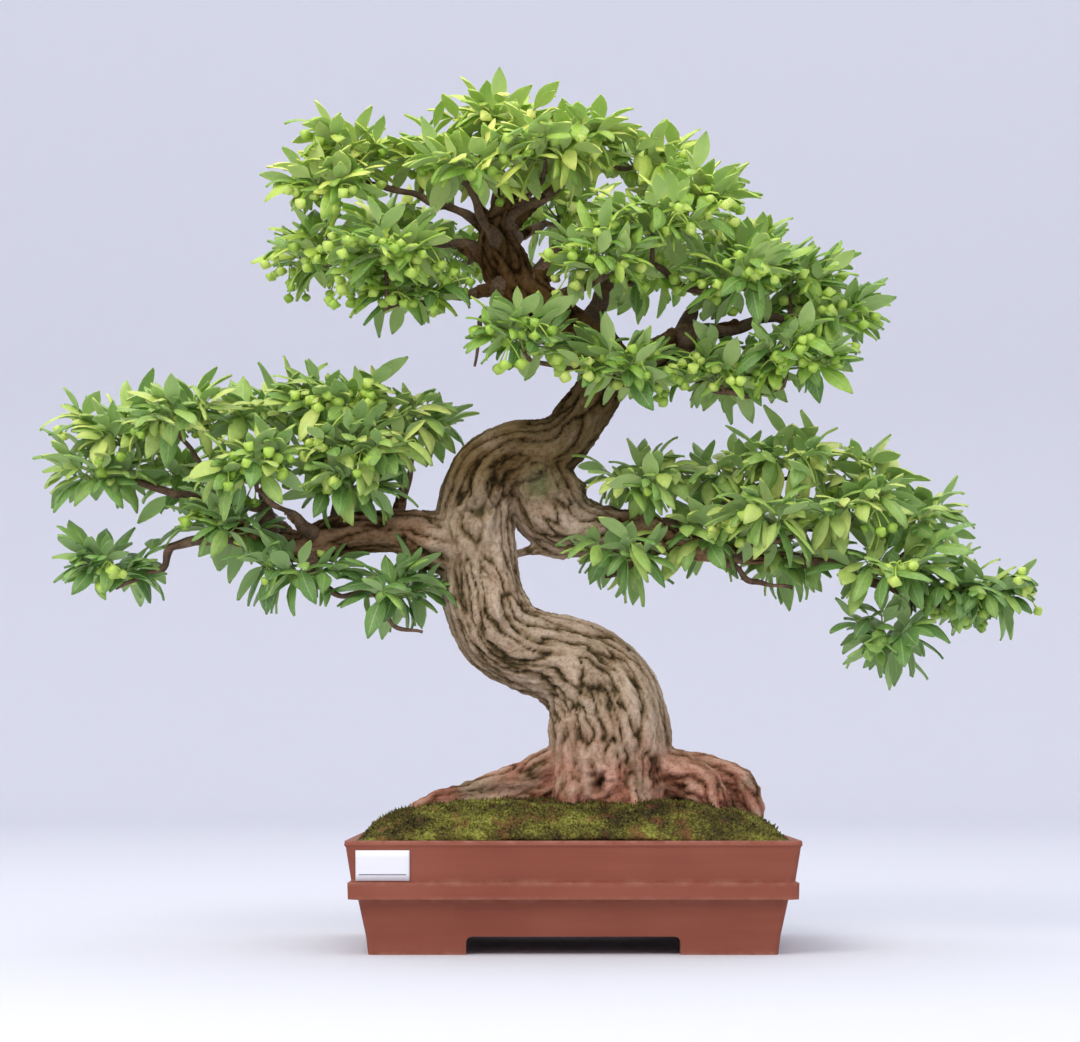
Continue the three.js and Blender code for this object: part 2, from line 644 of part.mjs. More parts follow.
// A shoot that ends in a leaf, with its sections turned to suit that leaf
function shootSolid(shoot, leaf, start, grow = 0) {
  const { side, sections, tip } = leafShape(leaf, grow);
  const radius = shootRadius + grow;
  const rings = [section(leaf.root, side, leaf.normal, leafRoot.half + grow,
    leafRoot.rise + grow, leafRoot.keel + grow)];
  const over = leaf.normal.clone();
  for (const t of [0.5, 0]) {
    const along = shoot.at(t + 0.02).sub(shoot.at(t)).normalize();
    over.addScaledVector(along, -over.dot(along)).normalize();
    rings.unshift(section(shoot.at(t), over.clone().cross(along), over,
      0.87 * radius, 0.5 * radius, radius));
  }
  if (start) {
    const along = shoot.at(0).sub(start).normalize();
    over.addScaledVector(along, -over.dot(along)).normalize();
    rings.unshift(section(start, over.clone().cross(along), over,
      0.87 * radius, 0.5 * radius, radius));
  }
  return ringSolid([...rings, ...sections], tip);
}

// A leaf that starts from a point sunk in the shoot
function leafSolid(leaf, grow = 0) {
  const { sections, tip } = leafShape(leaf, grow);
  return ringSolid(sections, tip, leaf.root.clone().addScaledVector(leaf.direction, -leafSink));
}

// The outer part of a leaf, clear of where leaves meet at the shoot
function bladeSolid(leaf) {
  const { sections, tip } = leafShape(leaf, 0);
  return ringSolid(sections, tip);
}

// A bunch of capsules on thin stalks, hung from a point beside a shoot
function bunchSolid(shoot) {
  const beside = shootRadius + clearance + stalkRadius;
  const out = shoot.at(1).sub(shoot.at(0)).setZ(0).normalize();
  const start = shoot.at(bunch.place).addScaledVector(out, beside);
  start.z -= beside;
  const fork = start.clone().addScaledVector(out, bunch.reach).setZ(start.z - bunch.fall);
  const parts = [];
  for (let k = 0; k < capsule.count; k++) {
    const random = (n) => scatter(shoot.number, 200 + 100 * n + 10 * shoot.j + k);
    const angle = 2 * Math.PI * (k + 0.6 * random(1)) / capsule.count;
    const spread = bunch.spread + bunch.spreadRange * random(2);
    const top = fork.clone().add(new THREE.Vector3(
      spread * Math.cos(angle), spread * Math.sin(angle), -bunch.drop - bunch.dropRange * random(3),
    ));
    const branching = start.clone().lerp(fork, 1 - 0.2 * k);
    parts.push(capsuleSolid(k === 0 ? [start, fork] : [branching], top, angle));
  }
  return mainBody(joined(parts));
}

// A four-lobed seed capsule that hangs from its own thin stalk
function capsuleSolid(stalk, top, turn) {
  const ring = (centre, radius) => [3, 2, 1, 0].map((j) => {
    const angle = turn + j * Math.PI / 2;
    return centre.clone().add(new THREE.Vector3(
      radius * Math.cos(angle), radius * Math.sin(angle), 0,
    ));
  });
  const below = (depth) => top.clone().setZ(top.z - depth);
  const rings = [
    ...[...stalk, top].map((p) => ring(p, stalkRadius)),
    ring(below(capsule.shoulder), capsule.lobe),
    ring(below(capsule.waist), capsule.lobe * 0.85),
  ];
  return ringSolid(rings, below(capsule.depth));
}

// What the green growth must stay clear of, each with its own box
class Obstacles {
  constructor() {
    this.items = [];
  }

  add(solid) {
    this.items.push({ solid, box: solid.boundingBox() });
  }

  touches(solid) {
    const { min, max } = solid.boundingBox();
    return this.items.some(({ solid: other, box }) => (
      [0, 1, 2].every((k) => min[k] < box.max[k] && max[k] > box.min[k])
      && !other.intersect(solid).isEmpty()
    ));
  }
}

// Shoots and leaves are tried in turn, and only those that stay clear of the rest are kept
function growSpray(spray, droop, obstacles, bunches) {
  const stemStart = spray.stemFoot.clone().addScaledVector(spray.direction, stemGap);
  const parts = [];
  const shoots = [];
  const blades = new Obstacles();
  for (let j = 0; j < shootHeights.length && shoots.length < shootsPerSpray; j++) {
    const shoot = shootCurve(spray, j);
    const leaf = leafFrame(shoot, -1, 0, droop);
    const first = shoots.length === 0;
    const setOff = shoot.at(0.1).sub(shoot.at(0)).normalize();
    if (first && setOff.dot(spray.direction) < leastSetOff) continue;
    const start = first ? stemStart : null;
    if (obstacles.touches(shootSolid(shoot, leaf, start, clearance))) continue;
    shoots.push(shoot);
    parts.push(shootSolid(shoot, leaf, start));
    blades.add(bladeSolid(leaf));
  }
  if (fruiting.has(spray.number)) {
    const solid = bunchSolid(shootCurve(spray, fruiting.get(spray.number)));
    bunches.push({ number: spray.number, solid });
    obstacles.add(solid);
  }
  let leaves = shoots.length;
  for (const pair of pairPlaces.keys()) {
    for (const hand of [0, 1]) {
      for (const shoot of shoots) {
        if (leaves === leavesPerSpray) break;
        const leaf = leafFrame(shoot, pair, hand, droop);
        const blade = bladeSolid(leaf);
        if (obstacles.touches(leafSolid(leaf, clearance)) || blades.touches(blade)) continue;
        parts.push(leafSolid(leaf));
        blades.add(blade);
        leaves++;
      }
    }
  }
  const whole = mainBody(joined(parts));
  obstacles.add(whole);
  return whole;
}

// Assembly

const tree = new THREE.Group();

function addPiece(name, solid, colour, roughness = 0.85) {
  const { positions, faces } = cleanMesh(solid);
  const geometry = new THREE.BufferGeometry();
  geometry.setAttribute('position', new THREE.Float32BufferAttribute(positions, 3));
  geometry.setIndex(faces);
  geometry.computeVertexNormals();
  const material = new THREE.MeshStandardMaterial({ color: colour, roughness, metalness: 0 });
  const mesh = new THREE.Mesh(geometry, material);
  mesh.name = name;
  tree.add(mesh);
}

const masses = [
  { label: 'crown', sprays: crownSprays.map(sprayFrame), droop: 0 },
  { label: 'left', sprays: leftSprays.map(sprayFrame), droop: 0.1 },
  { label: 'right', sprays: rightSprays.map(sprayFrame), droop: 0.35 },
];
const everySpray = masses.flatMap((mass) => mass.sprays);
const wood = buildWood(everySpray, 0);
const woodClear = buildWood(everySpray, clearance);

addPiece('pot', buildPot(), colours.pot);
addPiece('label_card', buildCard(), colours.card, 0.6);
addPiece('drain_mesh_left', buildDrainMesh(-drain.x), colours.mesh, 0.5);
addPiece('drain_mesh_right', buildDrainMesh(drain.x), colours.mesh, 0.5);
addPiece('drainage_grit', buildGrit(), colours.grit, 1);
addPiece('soil', buildSoil(woodClear), colours.soil, 1);
addPiece('moss', buildMoss(woodClear), colours.moss, 1);
addPiece('wood', wood, colours.wood, 0.9);

const obstacles = new Obstacles();
obstacles.add(woodClear);
const bunches = [];
for (const { label, sprays, droop } of masses) {
  for (const spray of sprays) {
    const name = `spray_${label}_${String(spray.number).padStart(2, '0')}`;
    addPiece(name, growSpray(spray, droop, obstacles, bunches), colours.leaf, 0.5);
  }
}
for (const { number, solid } of bunches) {
  addPiece(`fruit_bunch_${String(number).padStart(2, '0')}`, solid, colours.fruit, 0.5);
}

const bounds = new THREE.Box3().setFromObject(tree);
const middle = bounds.getCenter(new THREE.Vector3());
for (const piece of tree.children) piece.geometry.translate(-middle.x, -middle.y, 0);

export default tree;
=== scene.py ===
# Burning bush bonsai in an unglazed pot: the looks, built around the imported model.
import math
import time
from functools import partial
import bpy
import numpy as np
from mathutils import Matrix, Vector


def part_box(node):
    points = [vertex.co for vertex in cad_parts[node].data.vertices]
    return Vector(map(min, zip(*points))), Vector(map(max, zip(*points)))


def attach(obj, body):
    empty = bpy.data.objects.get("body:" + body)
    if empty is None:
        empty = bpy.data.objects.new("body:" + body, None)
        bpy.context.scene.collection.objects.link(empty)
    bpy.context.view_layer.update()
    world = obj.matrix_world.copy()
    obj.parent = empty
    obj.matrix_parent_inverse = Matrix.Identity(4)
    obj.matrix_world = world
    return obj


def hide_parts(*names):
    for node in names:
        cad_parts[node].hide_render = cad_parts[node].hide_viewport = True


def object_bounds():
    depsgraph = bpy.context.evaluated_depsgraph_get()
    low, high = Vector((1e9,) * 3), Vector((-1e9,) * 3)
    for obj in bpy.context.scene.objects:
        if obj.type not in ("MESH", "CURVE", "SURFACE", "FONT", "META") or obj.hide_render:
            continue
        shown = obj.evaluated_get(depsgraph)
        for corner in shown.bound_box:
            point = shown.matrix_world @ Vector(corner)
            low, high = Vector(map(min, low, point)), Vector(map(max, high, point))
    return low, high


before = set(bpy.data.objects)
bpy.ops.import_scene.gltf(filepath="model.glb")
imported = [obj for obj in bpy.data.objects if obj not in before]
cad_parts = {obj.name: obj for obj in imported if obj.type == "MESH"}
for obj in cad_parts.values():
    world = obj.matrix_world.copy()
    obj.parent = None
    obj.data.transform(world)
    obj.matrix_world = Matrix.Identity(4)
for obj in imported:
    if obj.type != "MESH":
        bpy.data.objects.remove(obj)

cadBox = [list(corner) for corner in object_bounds()]
startTime = time.time()

# The tree is laid out in millimetres from the middle of the pot's feet, then moved to the frame.
mm = 0.001
potLow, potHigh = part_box("pot")
potMiddle = np.array([(potLow.x + potHigh.x) / 2, (potLow.y + potHigh.y) / 2, 0.0])


def report(stage):
    print(f"{stage}: {time.time() - startTime:.1f} s")


# Arrays and noise

def unit(v):  # each row divided by its length
    return v / np.maximum(np.linalg.norm(v, axis=-1, keepdims=True), 1e-9)


def dot(a, b):  # row by row, kept as a column
    return np.sum(a * b, axis=-1, keepdims=True)


def smoothStep(low, high, x):  # 3t^2 - 2t^3 of x taken between low and high
    t = np.clip((x - low) / (high - low), 0, 1)
    return t * t * (3 - 2 * t)


def scatter(i, k):  # a number from 0 to 1: the fraction of sin(12.9898 i + 78.233 k) * 43758.5453
    value = np.sin(np.asarray(i) * 12.9898 + np.asarray(k) * 78.233) * 43758.5453
    return value - np.floor(value)


def cellSlope(ix, iy, iz):  # a fixed unit direction for each corner of the noise grid
    h = (ix * 374761393 + iy * 668265263 + iz * 2147483647) & 0xFFFFFFFF
    h = ((h ^ (h >> 13)) * 1274126177) & 0xFFFFFFFF
    turn = (h & 0xFFFF) / 65536 * 2 * np.pi
    z = ((h >> 16) & 0xFFFF) / 32768 - 1
    flat = np.sqrt(np.maximum(0, 1 - z * z))
    return np.stack([flat * np.cos(turn), flat * np.sin(turn), z], -1)


def noise(p):
    # Gradient noise, about -0.8 to 0.8: at each grid corner the slope times the way to the point,
    # mixed by 6t^5 - 15t^4 + 10t^3 along each axis
    p = np.asarray(p, float)
    cell = np.floor(p).astype(np.int64)
    f = p - cell
    w = f * f * f * (f * (f * 6 - 15) + 10)
    total = np.zeros(p.shape[:-1])
    for dx in (0, 1):
        for dy in (0, 1):
            for dz in (0, 1):
                corner = np.array([dx, dy, dz])
                slope = cellSlope(cell[..., 0] + dx, cell[..., 1] + dy, cell[..., 2] + dz)
                weight = np.prod(np.where(corner, w, 1 - w), axis=-1)
                total += weight * np.sum(slope * (f - corner), axis=-1)
    return total * 1.6


def layered(p, layers=3):  # noise plus half as much at twice the pitch, and so on
    return sum(noise(np.asarray(p) * 2 ** k + 17.3 * k) / 2 ** k for k in range(layers))


# Meshes

def makeObject(name, points, faces, inMillimetres=True):
    mesh = bpy.data.meshes.new(name)
    placed = points * mm + potMiddle if inMillimetres else points
    mesh.from_pydata(placed.tolist(), [], faces)
    mesh.polygons.foreach_set("use_smooth", np.ones(len(mesh.polygons), bool))
    mesh.update()
    made = bpy.data.objects.new(name, mesh)
    bpy.context.scene.collection.objects.link(made)
    return made


def finishPiece(piece, material, slot, *nodes):
    paint(material, piece)
    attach(piece, "root")
    if nodes:
        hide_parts(*nodes)


def read(items, key, width=1, kind=np.int64):  # a value of each item, in rows of the given width
    flat = np.empty(len(items) * width, kind)
    items.foreach_get(key, flat)
    return flat.reshape(-1, width) if width > 1 else flat


def pointsOf(piece):
    return (read(piece.data.vertices, "co", 3, float) - potMiddle) / mm


def setPoints(piece, points):
    piece.data.vertices.foreach_set("co", (points * mm + potMiddle).ravel())
    piece.data.update()


def setValues(piece, name, values, domain="POINT"):
    layer = piece.data.attributes.new(name, "FLOAT", domain)
    layer.data.foreach_set("value", values)


def setUv(piece, uv):  # uv has one row for each point
    corners = read(piece.data.loops, "vertex_index")
    layer = piece.data.uv_layers.new(name="UVMap")
    layer.data.foreach_set("uv", uv[corners].ravel())


def applyModifier(piece, kind, **settings):
    modifier = piece.modifiers.new(kind.lower(), kind)
    for key, value in settings.items():
        setattr(modifier, key, value)
    with bpy.context.temp_override(object=piece, active_object=piece):
        bpy.ops.object.modifier_apply(modifier=modifier.name)


def ringFaces(rings, sides, start=0):  # quads between rings of points, one ring after the next
    i, j = np.meshgrid(np.arange(rings - 1), np.arange(sides), indexing="ij")
    a = start + i * sides + j
    b = start + i * sides + (j + 1) % sides
    return np.stack([a, b, b + sides, a + sides], -1).reshape(-1, 4)


def slabFaces(rows, columns):
    # A grid's quads, the same turned over for a second sheet of points after the first, and a row
    # of quads round the rim
    i, j = np.meshgrid(np.arange(rows - 1), np.arange(columns - 1), indexing="ij")
    a = i * columns + j
    over = np.stack([a, a + 1, a + columns + 1, a + columns], -1).reshape(-1, 4)
    count = rows * columns
    line = np.arange(count).reshape(rows, columns)
    edge = np.concatenate([line[0, :-1], line[:-1, -1], line[-1, :0:-1], line[:0:-1, 0]])
    following = np.roll(edge, -1)
    wall = np.stack([following, edge, edge + count, following + count], -1)
    return np.concatenate([over, over[:, ::-1] + count, wall])


def tubes(rings):
    # Many closed tubes of one layout: rings is (tubes, rings, sides, 3), and each end closes on a
    # point, the mean of the end ring
    count, length, sides = rings.shape[:3]
    ends = rings[:, [0, -1]].mean(axis=2)
    points = np.concatenate([rings.reshape(count, -1, 3), ends], axis=1)
    size = length * sides + 2
    quads = ringFaces(length, sides)
    j = np.arange(sides)
    last = (length - 1) * sides
    near = np.stack([np.full(sides, size - 2), (j + 1) % sides, j], -1)
    far = np.stack([np.full(sides, size - 1), last + j, last + (j + 1) % sides], -1)
    first = (np.arange(count) * size)[:, None, None]
    quads = (quads[None] + first).reshape(-1, 4)
    tips = (np.concatenate([near, far])[None] + first).reshape(-1, 3)
    return points.reshape(-1, 3), quads, tips


def gathered(parts):  # meshes given as points, quads and triangles, put in one
    points, quads, tips, start = [], [], [], 0
    for p, q, t in parts:
        points.append(p)
        quads.append(q + start)
        tips.append(t + start)
        start += len(p)
    faces = np.concatenate(quads).tolist() + np.concatenate(tips).tolist()
    return np.concatenate(points), faces


# Curves

def curve(points, count):
    # Catmull-Rom: p1 + t/2 (p2 - p0 + t (2 p0 - 5 p1 + 4 p2 - p3 + t (3 (p1 - p2) + p3 - p0))),
    # with the ends continued in a straight line. Works on any number of columns.
    p = np.asarray(points, float)
    p = np.vstack([2 * p[0] - p[1], p, 2 * p[-1] - p[-2]])
    u = np.linspace(0, len(points) - 1, count)
    i = np.minimum(u.astype(int), len(points) - 2)
    t = (u - i)[:, None]
    p0, p1, p2, p3 = p[i], p[i + 1], p[i + 2], p[i + 3]
    cubic = 2 * p0 - 5 * p1 + 4 * p2 - p3 + t * (3 * (p1 - p2) + p3 - p0)
    return p1 + 0.5 * t * (p2 - p0 + t * cubic)


def curveLength(points):
    p = np.asarray(points, float)[:, :3]
    return np.linalg.norm(np.diff(p, axis=0), axis=1).sum()


def frames(centres):
    # The tangent, and two directions across it, taken from the axis that the curve runs least along
    tangent = unit(np.gradient(centres, axis=0))
    axis = np.eye(3)[np.argmin(np.abs(tangent).max(axis=0))]
    across = unit(axis - dot(tangent, axis[None]) * tangent)
    return tangent, across, np.cross(tangent, across)


def allRound(across, side, angle):  # across cos a + side sin a, a direction for each angle
    return (across[..., None, :] * np.cos(angle)[..., None]
            + side[..., None, :] * np.sin(angle)[..., None])


def sweep(points, step, sides, wobble=0.0, key=0.0, wander=0.0, collar=0.0):
    # Circles carried along a curve: centre + r (across cos a + side sin a). The radius is bent by
    # noise and flares at the foot, and the centre strays by a noise that fades out to both ends.
    count = max(3, int(curveLength(points) / step) + 1)
    samples = curve(points, count)
    centres, radius = samples[:, :3], samples[:, 3]
    fade = np.sin(np.linspace(0, np.pi, count)) ** 0.5
    stray = [noise(centres / 24 + key + 5 * k) for k in range(3)]
    centres = centres + wander * (fade * stray).T
    _, across, side = frames(centres)
    angle = 2 * np.pi * np.arange(sides) / sides
    turned = allRound(across, side, angle)
    along = np.arange(count) * step
    rough = noise(np.stack([along / 23 + key, np.full(count, key), np.zeros(count)], -1))
    flare = 1 + collar * np.exp(-(along / 26) ** 2)
    r = (radius * flare * (1 + wobble * rough))[:, None, None]
    return tubes((centres[:, None] + turned * r)[None])


# Materials: colours are sRGB hex values

def rgb(hexCode):
    parts = [int(hexCode[i:i + 2], 16) / 255 for i in (1, 3, 5)]
    return [c / 12.92 if c <= 0.04045 else ((c + 0.055) / 1.055) ** 2.4 for c in parts] + [1.0]


def newMaterial(name):  # with a short way to add its nodes, and one to set its shader's inputs
    material = bpy.data.materials.new(name)
    material.use_nodes = True
    tree = material.node_tree
    tree.nodes.clear()
    add = partial(addNode, tree)
    shader = add("BsdfPrincipled")
    add("OutputMaterial", Surface=shader.outputs["BSDF"])
    return material, add, partial(setInputs, tree, shader)


def addNode(tree, kind, settings=None, **links):
    # A node with its settings and inputs. Stops are a colour ramp's places and colours.
    node = tree.nodes.new("ShaderNode" + kind)
    settings = dict(settings or {})
    stops = settings.pop("stops", [])
    if stops:
        elements = node.color_ramp.elements
        elements.remove(elements[1])
        elements[0].position = stops[0][0]
        elements[0].color = rgb(stops[0][1])
        for place, hexCode in stops[1:]:
            elements.new(place).color = rgb(hexCode)
    for key, value in settings.items():
        setattr(node, key, value)
    setInputs(tree, node, **links)
    return node


def setInputs(tree, node, **links):
    # A link or value is given by the input's name, or _0, _1 by place. A node stands for its first
    # output that is in use.
    for key, value in links.items():
        place = int(key[1:]) if key[0] == "_" else key.replace("_", " ")
        if isinstance(value, bpy.types.Node):
            value = next(output for output in value.outputs if output.enabled)
        if isinstance(value, bpy.types.NodeSocket):
            tree.links.new(value, node.inputs[place])
        else:
            node.inputs[place].default_value = value


# Settings that several nodes share
mixColours = {"data_type": "RGBA"}
multiplyColours = {"data_type": "RGBA", "blend_type": "MULTIPLY"}
times = {"operation": "MULTIPLY"}
timesClamped = {"operation": "MULTIPLY", "use_clamp": True}
timesPlus = {"operation": "MULTIPLY_ADD"}
minus = {"operation": "SUBTRACT"}
sizeOnly = {"operation": "ABSOLUTE"}
smoothRange = {"interpolation_type": "SMOOTHSTEP"}


def paint(material, *pieces):
    for piece in pieces:
        piece.data.materials.clear()
        piece.data.materials.append(material)


# Wood: guide curves in millimetres, each point x, y, z and radius

wood = {
    "voxel": 2.3,
    "smoothing": 4,
    "blend": 9.0,  # width over which one limb's bark runs into the next
    "plate": 13.0,  # pitch of the bark's ridges round the trunk
    "plateLength": 84.0,
    "furrowWidth": 0.12,
    "furrowDepth": 3.1,
    "grain": 1.2,
    "crackDepth": 0.6, "ridgeHeight": 2.6, "fleckHeight": 0.4, "swellHeight": 2.4,
    "lump": 2.2,  # swelling of the roots
    "rootHeights": (235, 150),  # where root bark fades in, and below it algae and young bark
    "bendHeights": (400, 470),
    "leaderHeights": (500, 600),
    "limbHeights": (320, 480), "leftLimbPlaces": (-118, -165), "rightLimbPlaces": (28, 62),
    "step": 5, "sides": 20,
}
branch = {
    "thickness": 0.82, "step": 5, "sides": 9, "knobbly": 0.55, "wander": 6.5, "collar": 0.9,
    "footSwell": 1.55, "twigSides": 6, "twigKnobbly": 0.3,
}
trunk = [
    (43, 2, 116, 56), (41, 0, 152, 60), (39, 0, 182, 61), (38, 0, 207, 60), (31, 0, 238, 57),
    (14, 0, 263, 51), (-9, -2, 278, 45), (-41, -5, 289, 41), (-69, -8, 303, 41),
    (-84, -10, 329, 41), (-90, -10, 356, 39), (-93, -9, 384, 38), (-95, -8, 414, 38),
    (-93, -6, 442, 37), (-81, -5, 466, 37), (-56, -3, 481, 36), (-29, 0, 488, 33),
    (-8, 0, 500, 29), (8, -2, 520, 26), (26, -4, 544, 24), (37, -5, 568, 23), (27, -5, 590, 24),
    (1, -4, 608, 25), (-28, -3, 628, 25), (-53, 0, 651, 25), (-67, 0, 680, 24), (-74, 0, 704, 19),
    (-71, 0, 728, 13), (-61, 0, 757, 9), (-49, 0, 787, 6), (-41, 0, 817, 4),
]
leaderStart = 22
knob = [(35, -5, 560, 20), (69, 0, 578, 18), (97, 5, 590, 19), (111, 5, 599, 17)]
rightLimb = [
    (-34, 0, 460, 34), (-19, 3, 432, 40), (1, 5, 415, 34), (33, 5, 410, 25), (75, 5, 406, 19),
    (119, 3, 393, 13), (164, 0, 384, 9), (219, 0, 380, 7), (259, 0, 375, 6), (291, 0, 364, 5),
    (334, 0, 339, 4), (384, 0, 330, 3), (424, 0, 322, 2.5),
]
leftLimb = [
    (-101, -8, 386, 30), (-138, -8, 397, 29), (-176, -6, 406, 21), (-226, -5, 404, 21),
    (-271, -5, 392, 16), (-306, -5, 397, 12), (-336, -5, 412, 8), (-371, -3, 437, 6),
    (-411, 0, 452, 4), (-451, 0, 462, 3),
]
roots = [
    [(-11, -5, 174, 20), (-66, -12, 158, 14), (-106, -20, 147, 11), (-139, -28, 139, 8),
     (-163, -36, 124, 5)],
    [(17, -12, 184, 28), (4, -32, 157, 22), (-5, -52, 124, 16)],
    [(44, -18, 180, 26), (51, -40, 152, 20), (59, -62, 120, 14)],
    [(77, 0, 174, 27), (107, -18, 164, 24), (131, -34, 150, 19), (145, -48, 122, 12)],
    [(97, 8, 168, 24), (141, 4, 162, 21), (166, 0, 152, 18), (181, -6, 120, 12)],
    [(29, 18, 174, 30), (19, 48, 150, 21), (7, 80, 118, 12)],
    [(69, 18, 174, 26), (91, 50, 150, 19), (113, 84, 118, 12)],
]
crossStub = [(-63, 0, 384, 3), (-49, 0, 386, 4), (-31, 1, 391, 7), (-6, 3, 391, 12)]
crownBranches = [
    [(-71, 0, 702, 8), (-101, -7, 727, 6.3), (-146, -13, 742, 4.7), (-201, -20, 757, 3)],
    [(-74, 0, 680, 8), (-121, 7, 702, 6.3), (-181, 13, 697, 4.7), (-226, 20, 687, 3)],
    [(-61, -10, 657, 7), (-106, -23, 642, 5.5), (-156, -37, 632, 4), (-186, -50, 622, 2.5)],
    [(-69, 0, 727, 9), (-74, 0, 767, 6), (-79, 0, 802, 3)],
    [(-66, 0, 717, 8), (-26, -13, 747, 6.3), (19, -13, 777, 4.7), (49, 0, 777, 3)],
    [(-43, -5, 650, 9), (-1, -9, 702, 7.5), (59, -12, 713, 6), (119, -16, 717, 4.5),
     (149, -20, 717, 3)],
    [(14, -8, 604, 8), (39, -21, 657, 6.8), (69, -34, 672, 5.5), (120, -47, 646, 4.2),
     (169, -60, 642, 3)],
    [(109, 4, 597, 8), (122, 9, 632, 6.3), (149, 15, 662, 4.7), (199, 20, 677, 3)],
    [(113, 4, 602, 9), (169, -19, 612, 7), (219, -20, 617, 5), (259, 0, 607, 3)],
    [(97, 2, 586, 6), (129, -12, 557, 4.8), (169, -26, 542, 3.7), (209, -40, 547, 2.5)],
    [(33, -16, 554, 5), (4, -60, 564, 3.8), (-41, -85, 567, 2.5)],
    [(-26, -14, 630, 6), (4, -65, 642, 4.2), (29, -100, 645, 2.5)],
    [(-53, 12, 670, 7), (-71, 70, 702, 5), (-111, 110, 702, 3)],
    [(-21, 12, 630, 7), (29, 70, 682, 5), (69, 105, 677, 3)],
    [(-68, 10, 702, 6), (-31, 70, 732, 4.5), (-11, 115, 742, 3)],
    [(-63, -5, 637, 4), (-82, -24, 620, 3.2), (-92, -30, 607, 2.4), (-96, -32, 569, 1.6)],
]
leftBranches = [
    [(-231, -5, 402, 7), (-226, -5, 462, 5), (-221, -5, 502, 3)],
    [(-301, -5, 397, 7), (-308, -3, 452, 5), (-313, -2, 485, 3.5)],
    [(-286, -8, 390, 8), (-336, -11, 397, 6.6), (-391, -14, 394, 5.2), (-411, -17, 367, 3.9),
     (-451, -20, 350, 2.5)],
    [(-261, -12, 390, 6), (-253, -18, 357, 5.2), (-221, -23, 344, 4.4), (-196, -29, 340, 3.6),
     (-174, -34, 310, 2.8), (-146, -40, 305, 2)],
    [(-176, 0, 412, 6), (-166, 8, 462, 4.2), (-159, 15, 497, 2.5)],
    [(-271, 0, 394, 6), (-311, 50, 432, 4.5), (-371, 70, 452, 3)],
    [(-251, -8, 397, 6), (-281, -50, 422, 4.2), (-306, -70, 442, 2.5)],
]
rightBranches = [
    [(84, 6, 410, 7), (129, 8, 420, 6), (191, 10, 418, 5), (267, 13, 414, 4), (319, 15, 422, 3)],
    [(149, 6, 418, 4.5), (169, 6, 447, 3.5), (219, 6, 462, 2.5)],
    [(129, 0, 392, 4.5), (164, -7, 370, 3.7), (181, -13, 357, 2.8), (219, -20, 350, 2)],
    [(334, 0, 339, 3.8), (327, -6, 312, 3.1), (314, -12, 287, 2.5)],
    [(291, 0, 364, 4), (334, 10, 382, 3.2), (364, 20, 402, 2.5)],
    [(69, -4, 397, 5), (54, -7, 372, 3.8), (34, -10, 362, 2.5)],
    [(164, -2, 385, 5), (194, -40, 394, 3.8), (229, -60, 397, 2.5)],
    [(77, 4, 410, 5), (74, 2, 434, 3.8), (69, 0, 442, 2.5)],
]
extraBranches = [
    [(41, -16, 560, 5), (54, -50, 547, 3.8), (61, -80, 537, 2.5)],
    [(-68, -12, 690, 6), (-91, -60, 727, 4.5), (-106, -85, 742, 3)],
    [(-68, -6, 734, 5), (-31, -45, 750, 4), (-26, -70, 757, 3)],
    [(-336, -6, 412, 5), (-356, -23, 462, 3.8), (-386, -40, 497, 2.5)],
    [(229, 0, 378, 4.5), (264, 0, 402, 3.5), (299, 0, 442, 2.5)],
    [(129, 4, 394, 6), (189, 50, 397, 4.2), (239, 70, 382, 2.5)],
]
mainCarriers = [*crownBranches, *leftBranches, *rightBranches,
                trunk[leaderStart:], leftLimb[3:], rightLimb[4:]]
carriers = mainCarriers + extraBranches
rootSkirts = [  # the roots' flanks that run down into the moss
    [(-5, -6, 158, 17), (-52, -12, 144, 13), (-98, -20, 137, 10), (-134, -28, 130, 7)],
    [(84, -4, 158, 20), (122, -10, 146, 17), (152, -14, 136, 12)],
]
heavyLimbs = [trunk, knob, rightLimb[:9], leftLimb[:8], crossStub, *roots, *rootSkirts]

# Marks on the trunk: where, how wide, the height of the rim and of the middle, and how much of it
# is dark, green with algae, or red with wound paste
trunkMarks = [
    ((-31, -33, 452), 16, 4.5, -2, 0.4, 0.8, 0),
    ((-93, -44, 423), 13, 4, -6, 0.9, 0.2, 0),
    ((24, -30, 431), 9, 2, -1, 0, 0, 1),
    ((-31, -42, 325), 9, -2, 6, 0.3, 0, 0),
    ((111, -10, 599), 15, 3, -6, 0.9, 0, 0.3),
    ((26, -58, 158), 13, 1, -14, 1, 0, 0),
    ((-86, -48, 366), 7, 3, 2, 0.5, 0, 0),
]


def limbPlace(points, limb, key):
    # For each point the nearest place on one limb: how far outside its surface, and the point's
    # place in the limb's own straightened space (across, side, along)
    count = max(4, int(curveLength(limb) / 3))
    samples = curve(limb, count)
    centres, radius = samples[:, :3], samples[:, 3]
    tangent, across, side = frames(centres)
    along = np.concatenate([[0], np.cumsum(np.linalg.norm(np.diff(centres, axis=0), axis=1))])
    near = np.argmin((centres ** 2).sum(1)[None] - 2 * points @ centres.T, axis=1)
    away = points - centres[near]
    place = np.stack([
        (away * across[near]).sum(1), (away * side[near]).sum(1),
        along[near] + (away * tangent[near]).sum(1) + 211.7 * key,
    ], -1)
    outside = np.linalg.norm(away, axis=1) - radius[near]
    return outside, place


